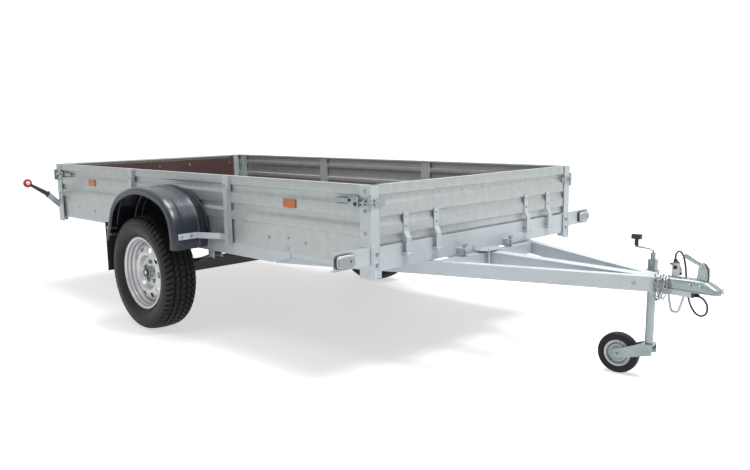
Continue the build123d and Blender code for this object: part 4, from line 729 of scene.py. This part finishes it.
# ---- Fenders and mud flaps
# Glossy blue-black polypropylene arches, moulded with a rolled outer lip and shallow channels along
# the top. Each is bolted to two flat stays, and a rubber flap hangs from its rear leg.
plastic = Finish("fender plastic", (0.011, 0.016, 0.027), 0.32, Coat_Weight=0.30, Coat_Roughness=0.25,
                 Specular_IOR_Level=0.4)
plastic.mottled(12, 5, 0.45, 0.8, 0.4, (0.020, 0.026, 0.038)).worn(35, 4, 0.28, 0.42)
plastic.grained(320, 3, 0.00010, 0.2)
fender_arch = flowing([(-0.417, 0.475), (-0.385, 0.546), (-0.346, 0.636), (-0.311, 0.680), (-0.269, 0.717),
                       (-0.211, 0.745), (-0.138, 0.767), (-0.069, 0.779), (0.013, 0.780), (0.091, 0.771),
                       (0.165, 0.752), (0.222, 0.730), (0.270, 0.694), (0.301, 0.650), (0.317, 0.607),
                       (0.325, 0.555), (0.327, 0.509), (0.322, 0.477)], 6)
fender_profile = [(0.006, 0.040), (0, 0.036), (0, 0.030), (0.003, 0.027), (0, 0.024), (0, 0.014),
                  (0.010, 0.003), (0.028, 0), (0.058, 0), (0.064, 0.004), (0.104, 0.0035), (0.150, 0.004),
                  (0.156, 0), (0.165, 0), (0.170, 0.008), (0.205, 0.008), (0.208, 0.012)]
fender_section = walled(rounded(fender_profile, 0.006, 4), 0.0035)


def fender(side):
    """Section (in from the outer edge, inset) carried along the arch, each inset along its normal."""
    way = heading_of(fender_arch)
    inset = fender_section[:, 1][None]
    x = box_middle + fender_arch[:, :1] + way[:, 1:] * inset
    z = fender_arch[:, 1:] - way[:, :1] * inset
    return together(x, side * (0.965 - fender_section[:, 0][None]), z)


flap_rubber = Finish("mud flap rubber", (0.026, 0.026, 0.028), 0.52)
flap_rubber.mottled(16, 5, 0.4, 0.8, 0.5, (0.050, 0.048, 0.047)).worn(50, 4, 0.42, 0.66)
flap_rubber.bump(flap_rubber.wave(90, "Y"), 0.0004, 0.5)
finish_nodes(flap_rubber, "mud_flaps")
for side, hand in hands:
    # Painted shade: inside each arch, a flat plate of the dark fender plastic, from the arch down to 0.52 m,
    # covers the wall seen between tyre and arch.
    shade_plate = np.stack([np.broadcast_to(box_middle + fender_arch[:, :1], (len(fender_arch), 2)),
                      np.full((len(fender_arch), 2), side * 0.7585),
                      np.stack([fender_arch[:, 1], np.minimum(fender_arch[:, 1], 0.52)], 1)], -1)
    piece(f"wheel_arch_shade_plate_{hand}", shade_plate, plastic, "bed", thick=0.002)
    piece(f"wheel_arch_{hand}", fender(side), plastic, "bed", (f"fender_{hand}",), loop, ends=True)
    places = [(box_middle - 0.416, side * y, z) for y in (0.805, 0.930) for z in (0.490, 0.545)]
    bolts(f"flap_bolts_{hand}", hexagon_head(0.008, 0.005), places, (1, 0, 0), "bed")
    near, far = (box_middle - 0.411, side * 0.955), (box_middle - 0.372, side * 0.905)
    tabs = [softened((*near, z - 0.008), (*far, z + 0.008), 0.3) for z in (0.532, 0.496)]
    piece(f"flap_tabs_{hand}", tabs, zinc, "bed", wrap=loop)
    stay_bolts = [(box_middle + 0.3295, side * y, 0.545) for y in (0.860, 0.915)]
    bolts(f"stay_bolts_{hand}", hexagon_head(0.0065, 0.004), stay_bolts, (1, 0, 0), "bed")

# ---- Lamps, reflectors and number plate
# Moulded acrylic lenses over black plastic housings: round two-colour markers on rubber arms, oblong
# tail lamps, white front position lamps and amber side reflectors. The number plate is left blank.
def lens(name, colour, prisms=260):
    """Clear coloured acrylic, moulded with fine prisms on its inner face."""
    made = Finish(name, colour, 0.16, Coat_Weight=0.2, Coat_Roughness=0.08)
    pattern = made.cells(prisms, "Distance")
    made.tint(made.spread(pattern, 0.2, 0.7, 0, 0.35), tuple(0.45 * c for c in colour))
    made.worn(50, 3, 0.12, 0.26)
    made.bump(pattern, 0.0006, 0.5)
    return made


black_plastic = Finish("black housing plastic", (0.018, 0.018, 0.019), 0.42)
black_plastic.mottled(60, 4, 0.45, 0.8, 0.4, (0.038, 0.038, 0.040)).worn(90, 3, 0.34, 0.56)
black_plastic.grained(500, 2, 0.0001, 0.4)
red_lens, white_lens = lens("red lens", (0.55, 0.012, 0.014)), lens("white lens", (0.78, 0.79, 0.80))
amber_lens = lens("amber lens", (0.80, 0.19, 0.004))
finish_nodes(amber_lens, "side_reflectors")
finish_nodes(black_plastic, "rail_end_cap")
tail_lens = lens("tail lamp lens", (0.55, 0.012, 0.014))
beside = tail_lens.nodes.new("ShaderNodeMath")
beside.operation = "ABSOLUTE"
tail_lens.links.new(tail_lens.axis("Y"), beside.inputs[0])
tail_lens.tint(tail_lens.spread(beside.outputs[0], 0.6600, 0.6605), (0.80, 0.19, 0.004))
tail_lens.tint(tail_lens.spread(beside.outputs[0], 0.6050, 0.6045), (0.78, 0.79, 0.80))
clear_lens = lens("front lamp lens", (0.42, 0.45, 0.47), 330)


stalk = [(0, -0.003), (0.019, -0.003), (0.022, -0.001), (0.022, 0.003), (0.019, 0.005), (0.0155, 0.008),
         (0.0145, 0.040), (0.0120, 0.085), (0.0105, 0.118), (0.011, 0.126), (0.013, 0.134), (0, 0.136)]
marker_rim = [(0, -0.0075), (0.0235, -0.0075), (0.027, -0.0065), (0.028, -0.004), (0.028, 0.004),
              (0.027, 0.0065), (0.0235, 0.0075), (0, 0.0075)]
marker_dome = np.array([(0, 0), (0.0235, 0), (0.0235, 0.002), (0.021, 0.0060), (0.015, 0.0082),
                        (0.007, 0.0090), (0, 0.0091)])
bulb_head = [(0, 0), (0.0045, 0), (0.0045, 0.0015), (0, 0.002)]
tail_lamp_parts = [
    # name, finish, CAD node, distance across, then near and far face, half width, heights and power
    ("tail_lamp_shell", black_plastic, ("rear_lamps",), 0.632, -1.514, -1.500, 0.064, 0.503, 0.586, 0.25),
    ("tail_lens", tail_lens, (), 0.632, -1.5255, -1.506, 0.061, 0.506, 0.583, 0.22),
]
front_lamp_parts = [
    ("front_lamp_housing", black_plastic, ("front_lamps",), 0.905, 1.501, 1.514, 0.0515, 0.533, 0.591, 0.42),
    ("front_lamp_rim", white_lens, (), 0.905, 1.503, 1.5165, 0.0485, 0.536, 0.588, 0.42),
    ("front_lamp_lens", clear_lens, (), 0.905, 1.506, 1.522, 0.0440, 0.5405, 0.5835, 0.42),
]


def lamp_shells(parts, side, hand):
    """A lamp's softened boxes, one inside another."""
    for name, paint, stands_for, across, near, far, half, low, high, power in parts:
        y = side * across
        shell = softened((box_middle + near, y - half, low), (box_middle + far, y + half, high), power)
        piece(f"{name}_{hand}", shell, paint, "bed", stands_for, loop)


for side, hand in hands:
    lamp_shells(tail_lamp_parts, side, hand)
    flange, centre = np.array([-2.043, side * 0.826, 0.649]), np.array([-2.048, side * 0.953, 0.730])
    lathed(f"marker_arm_{hand}", stalk, 28, flange, centre - flange, black_plastic, "bed", ("side_lamps",))
    lathed(f"marker_ring_{hand}", marker_rim, 40, centre, (1, 0, 0), red_lens, "bed")
    for way, kind, paint, share in ((-1, "rear", red_lens, 1.0), (1, "front", white_lens, 0.62)):
        place, dome = centre + (way * 0.0070, 0, 0), marker_dome * (share, 1)
        lathed(f"marker_{kind}_{hand}", dome, 36, place, (way, 0, 0), paint, "bed")
    lamp_shells(front_lamp_parts, side, hand)
    # The bulb is a small near-black disc of painted shade, standing just proud of the lens's middle.
    bulb_place = (box_middle + 1.5212, side * 0.905 + 0.020, 0.562)
    lathed(f"front_lamp_bulb_{hand}", bulb_head, 16, bulb_place, (1, 0, 0), painted_shade_black, "bed")
plate_film = Finish("blank plate film", (0.74, 0.75, 0.75), 0.35, Coat_Weight=0.3, Coat_Roughness=0.15)
plate_film.tint(plate_film.spread(plate_film.cells(260, "Distance"), 0.2, 0.8, 0, 0.2), (0.66, 0.67, 0.68))
plate_film.bump(plate_film.cells(260, "Distance"), 0.00008, 0.4)
finish_nodes(plate_film, "number_plate")

# ---- Coupling head and its lever
# The head is pressed from zinc-plated steel plate: a long channel with a turned-out lower flange that
# closes over the ball and ends in a small upturned nose. Its lever is pivoted between two ears.
def coupling_shell():
    """Channel section, a superellipse above a turned-out flange, carried forward while its half width,
    crown and flange heights change with x."""
    x = np.concatenate([np.linspace(2.396, 2.530, 18), np.linspace(2.536, 2.6045, 26)])
    crown = np.interp(x, [2.396, 2.530, 2.550, 2.570, 2.588, 2.600, 2.6045],
                      [0.4855, 0.4885, 0.4840, 0.4740, 0.4630, 0.4560, 0.4530])
    floor_z = np.interp(x, [2.396, 2.500, 2.6045], [0.4455, 0.4440, 0.4430])
    half = 0.0335 * np.sqrt(np.clip(1 - (np.clip(x - 2.572, 0, None) / 0.0335) ** 2, 0.0, 1))
    half = np.maximum(half, 0.006)
    lift = np.linspace(0, math.pi, 37)
    power = np.interp(x, [2.500, 2.550], [0.28, 0.62])[:, None]
    wide = np.sign(np.cos(lift)) * np.abs(np.cos(lift)) ** power
    high = np.sin(lift).clip(0) ** power
    y, z = half[:, None] * wide, floor_z[:, None] + (crown - floor_z)[:, None] * high
    lip_y = (half + 0.0065)[:, None]
    y = np.hstack([lip_y, lip_y, y, -lip_y, -lip_y])
    low = floor_z[:, None]
    z = np.hstack([low - 0.003, low, z, low, low - 0.003])
    return together(box_middle + x[:, None], y, z)


piece("coupling_shell", coupling_shell(), zinc, "drawbar", ("coupling_head",), thick=0.003)
nose = rounded([(2.570, 0.4425), (2.598, 0.4425), (2.6035, 0.4475), (2.6045, 0.4620)], 0.006)


def upright(a, b, y):
    """Point of a section that stands in the drawbar's middle plane."""
    return box_middle + a, y, b


nose_grid = extruded(walled(nose, 0.003), upright, np.linspace(-0.011, 0.011, 5))
piece("coupling_nose", nose_grid, zinc, "drawbar", wrap=loop, ends=True)
coupling_bolts = [(box_middle + x, -0.0335, 0.466) for x in (2.413, 2.4946, 2.534)]
bolts("coupling_bolts_right", hexagon_head(0.0085, 0.006), coupling_bolts, (0, -1, 0), "drawbar")
coupling_nuts = [(x, -y, z) for x, y, z in coupling_bolts]
bolts("coupling_nuts_left", hexagon_head(0.0085, 0.007), coupling_nuts, (0, 1, 0), "drawbar")
ear_outline = rounded([(2.509, 0.484), (2.511, 0.506), (2.514, 0.545), (2.524, 0.554), (2.536, 0.548),
                       (2.547, 0.530), (2.550, 0.500), (2.548, 0.484)], 0.008)
ears = [extruded(ear_outline, upright, (y, y + 0.003)) for y in (-0.0115, 0.0085)]
piece("lever_ears", ears, zinc, "drawbar", ("coupling_handle",), loop, ends=True, bevel=0.0008)
lever_line = flowing([(2.528, 0.500), (2.530, 0.524), (2.521, 0.545), (2.500, 0.556), (2.478, 0.567),
                      (2.458, 0.578)], 8)
lever_path = np.stack([box_middle + lever_line[:, 0], np.zeros(len(lever_line)), lever_line[:, 1]], 1)
lever_thick = np.interp(np.linspace(0, 1, len(lever_path)), [0, 0.35, 0.45, 0.95, 1],
                        [0.0085, 0.0100, 0.0100, 0.0120, 0.0095])
piece("coupling_lever", tube(lever_path, lever_thick), zinc, "drawbar", wrap=loop, ends=True)
pivot = [(box_middle + x, -0.0115, z) for x, z in ((2.524, 0.536), (2.538, 0.500))]
bolts("lever_pivots", hexagon_head(0.0075, 0.005), pivot, (0, -1, 0), "drawbar")
spring_turns, spring_radius = 9, 0.0045
coil = np.linspace(0, spring_turns * 2 * math.pi, 216)
spring_path = np.stack([box_middle + 2.5485 + spring_radius * np.cos(coil), spring_radius * np.sin(coil),
                        0.492 + 0.045 * coil / coil[-1]], 1)
piece("lever_spring", tube(spring_path, 0.0011, (0, 0, 1.0), 6), zinc, "drawbar", wrap=loop, ends=True)

# ---- Safety chain
# Short-link steel chain of 5 mm wire, zinc plated: it is looped over the rail's nose and hangs in a
# bundle beside it.
def chain_link(centre, way, flat):
    """Stadium of 5 mm wire: a circle carried round two straights and two half circles, 24 by 16 mm."""
    turn_at = full_turn(20)
    out = np.stack([np.cos(turn_at), np.sin(turn_at)], 1)
    along = link_radius * out[:, 0] + 0.005 * np.sign(out[:, 0]) * (np.abs(out[:, 0]) > 0.02)
    side_way = np.cross(way, flat)
    middle = centre + along[:, None] * way + link_radius * out[:, 1:] * side_way
    outward = out[:, :1] * way + out[:, 1:] * side_way
    round_wire = full_turn(8)[None, :, None]
    return middle[:, None] + wire_radius * (np.cos(round_wire) * outward[:, None] + np.sin(round_wire) * flat)


links = []
link_radius, wire_radius, link_pitch = 0.0055, 0.0025, 0.0165
for start_x, low_z, out_y in ((2.362, 0.398, 0.0), (2.384, 0.404, 0.004)):
    hang = np.array([(0, -0.020, 0.4895), (0, -0.043, 0.4870), (0.001, -0.050, 0.465), (0.004, -0.054, 0.430),
                     (0.009, -0.056, low_z), (0.020, -0.054, low_z + 0.010), (0.024, -0.050, 0.445),
                     (0.022, -0.045, 0.483), (0.021, -0.020, 0.4895)])
    hang[2:8, 1] -= out_y
    line = flowing(hang + (start_x, 0, 0), 8)
    count = int(np.linalg.norm(np.diff(line, axis=0), axis=1).sum() / link_pitch)
    centres = spaced(line, (np.arange(count) + 0.5) / count)
    for number, (centre, way) in enumerate(zip(centres, heading_of(centres))):
        flat = np.cross(way, (1.0, 0.3, 0.2) if number % 2 else (0.2, 1.0, 0.5))
        links.append(chain_link(centre + (box_middle, 0, 0), way, flat / np.linalg.norm(flat)))
dark_zinc = Finish("weathered zinc", (0.36, 0.38, 0.39), 0.30, 0.8)
dark_zinc.mottled(120, 4, 0.4, 0.7, 0.6, (0.24, 0.24, 0.25)).worn(200, 3, 0.26, 0.5)
dark_zinc.grained(500, 2, 0.0001, 0.4)
piece("chain_links", links, dark_zinc, "drawbar", ("safety_chain",), both_ways)

# ---- Jockey wheel
# A clamped telescopic tube with a crank on top, and a swivelling fork below that carries a solid
# rubber tyre on a ringed plastic hub.
leg_x, leg_y, trail, wheel_radius = box_middle + 2.262, 0.150, 0.128, 0.090
heading, axle_heading = math.radians(187), math.radians(277)
jockey_centre = np.array([leg_x + trail * math.cos(heading), leg_y + trail * math.sin(heading), wheel_radius])
jockey_axis = np.array([math.cos(axle_heading), math.sin(axle_heading), 0.0])
small_tyre = flowing([(0.058, -0.018), (0.066, -0.022), (0.076, -0.0235), (0.084, -0.021), (0.089, -0.013),
                      (wheel_radius, 0.0), (0.089, 0.013), (0.084, 0.021), (0.076, 0.0235), (0.066, 0.022),
                      (0.058, 0.018), (0.056, 0.0), (0.058, -0.018)], 4)[:-1]
lathed("jockey_rubber", small_tyre, 96, jockey_centre, jockey_axis, rubber, "jockey_wheel",
       ("jockey_tyre",), both_ways)
rings = [(0.010, -0.024), (0.018, -0.024), (0.020, -0.019), (0.028, -0.018), (0.030, -0.013), (0.040, -0.012),
         (0.043, -0.016), (0.046, -0.012), (0.053, -0.012), (0.057, -0.018), (0.058, 0.0)]
rings += [(r, -h) for r, h in rings[-2::-1]]
lathed("jockey_rings", rounded(rings, 0.0015, 3), 72, jockey_centre, jockey_axis, zinc, "jockey_wheel",
       ("jockey_hub",), both_ways)
bright_ring = [(0.0505, -0.0150), (0.0550, -0.0192), (0.0575, -0.0200), (0.0590, -0.0185), (0.0575, -0.0165)]
bright_rings = [stood(turned(bright_ring, 72), jockey_centre, face * jockey_axis) for face in (1, -1)]
piece("jockey_rim_rings", bright_rings, silver, "jockey_wheel", wrap=both_ways)
finish_nodes(black_plastic, "crank_knob")
clamp_bolt = [(leg_x, 0.122, 0.452)]
bolts("jockey_clamp_bolt", hexagon_head(0.009, 0.008), clamp_bolt, (0, -1, 0), "drawbar")

# ---- Lighting cable and its plug
# A flexible 8 mm PVC cable. It leaves the end cap of the centre rail through a strain relief, loops
# under the coupling, rises behind it and bends over into the seven-pin plug parked in its holder.
cable_route = [(2.508, 0, 0.424), (2.527, -0.001, 0.420), (2.547, -0.004, 0.405), (2.556, -0.007, 0.382),
               (2.551, -0.007, 0.357), (2.529, 0, 0.344), (2.502, 0.012, 0.350), (2.476, 0.034, 0.368),
               (2.455, 0.055, 0.396), (2.444, 0.067, 0.434), (2.436, 0.072, 0.476), (2.431, 0.073, 0.514),
               (2.426, 0.071, 0.544), (2.422, 0.063, 0.566), (2.418, 0.046, 0.580), (2.415, 0.027, 0.581),
               (2.415, 0.012, 0.571), (2.417, 0.006, 0.554)]
cable_line = bpy.data.curves.new("lighting_cable", "CURVE")
cable_line.dimensions = "3D"
route = cable_line.splines.new("NURBS")
route.points.add(len(cable_route) - 1)
for point, (x, y, z) in zip(route.points, cable_route):
    point.co = (box_middle + x, y, z, 1)
route.order_u = 3
route.use_endpoint_u = True
cable_line.resolution_u = 12
cable_line.bevel_depth = 0.004
cable_line.bevel_resolution = 6
cable_line.use_fill_caps = True
cable_skin = Finish("cable sheath", (0.024, 0.024, 0.026), 0.42)
cable_skin.mottled(70, 4, 0.4, 0.8, 0.5, (0.050, 0.050, 0.052)).worn(120, 3, 0.34, 0.54)
cable_skin.grained(500, 2, 0.0001, 0.4)
cable_line.materials.append(cable_skin.material)
cable = bpy.data.objects.new("lighting_cable", cable_line)
bpy.context.scene.collection.objects.link(cable)
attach(cable, "drawbar")
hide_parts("cable")
relief = [(0, 0), (0.0085, 0), (0.0085, 0.002), (0.0068, 0.0025), (0.0066, 0.0045), (0.0072, 0.005),
          (0.0062, 0.0056), (0.0060, 0.0075), (0.0066, 0.008), (0.0056, 0.0086), (0.0054, 0.0105),
          (0.0060, 0.011), (0.0048, 0.0116), (0.0044, 0.014), (0, 0.014)]
relief_place, cable_out = (box_middle + 2.507, 0, 0.4242), (0.977, -0.05, -0.206)
lathed("cable_relief", relief, 24, relief_place, cable_out, black_plastic, "drawbar")
plug_top, plug_axis = np.array([box_middle + 2.417, 0.006, 0.554]), np.array([0.2, 0.12, -1.0])
plug_axis = plug_axis / np.linalg.norm(plug_axis)
plug_shape = [(0, 0), (0.0065, 0), (0.0075, 0.001), (0.0080, 0.0045), (0.0080, 0.009), (0.0118, 0.011),
              (0.0132, 0.014), (0.0134, 0.030), (0.0140, 0.0305), (0.0140, 0.034), (0.0134, 0.0345),
              (0.0134, 0.038), (0.0140, 0.0385), (0.0140, 0.0625), (0.0130, 0.064), (0.0105, 0.064),
              (0.0105, 0.058), (0, 0.058)]
grey_plastic = Finish("grey plug plastic", (0.30, 0.31, 0.32), 0.40)
grey_plastic.mottled(60, 4, 0.4, 0.8, 0.4, (0.20, 0.21, 0.22)).worn(90, 3, 0.32, 0.52)
grey_plastic.grained(400, 2, 0.0001, 0.4)
plug_piece = lathed("cable_plug", plug_shape, 36, plug_top, plug_axis, black_plastic, "drawbar", ("plug",))
band = [(0.0141, 0.0), (0.0146, 0.0008), (0.0146, 0.0042), (0.0141, 0.005), (0.0130, 0.005), (0.0130, 0.0)]
bands = [stood(turned(band, 36), plug_top + plug_axis * down, plug_axis) for down in (0.0135, 0.0225, 0.048)]
plug_bands = piece("plug_bands", bands, grey_plastic, "drawbar", wrap=both_ways)
tongue = softened((box_middle + 2.405, -0.018, 0.534), (box_middle + 2.419, -0.008, 0.541), 0.4)
piece("plug_tongue", tongue, black_plastic, "drawbar", wrap=loop)
hole_rim = [(0.0052, -0.0035), (0.0052, 0.001), (0.0080, 0.001), (0.0080, -0.0008), (0.0074, -0.0035)]
hole = (box_middle + 2.426, -0.014, 0.526)
lathed("holder_hole_rim", hole_rim, 32, hole, (0, -1, 0), black_plastic, "drawbar", (), both_ways)
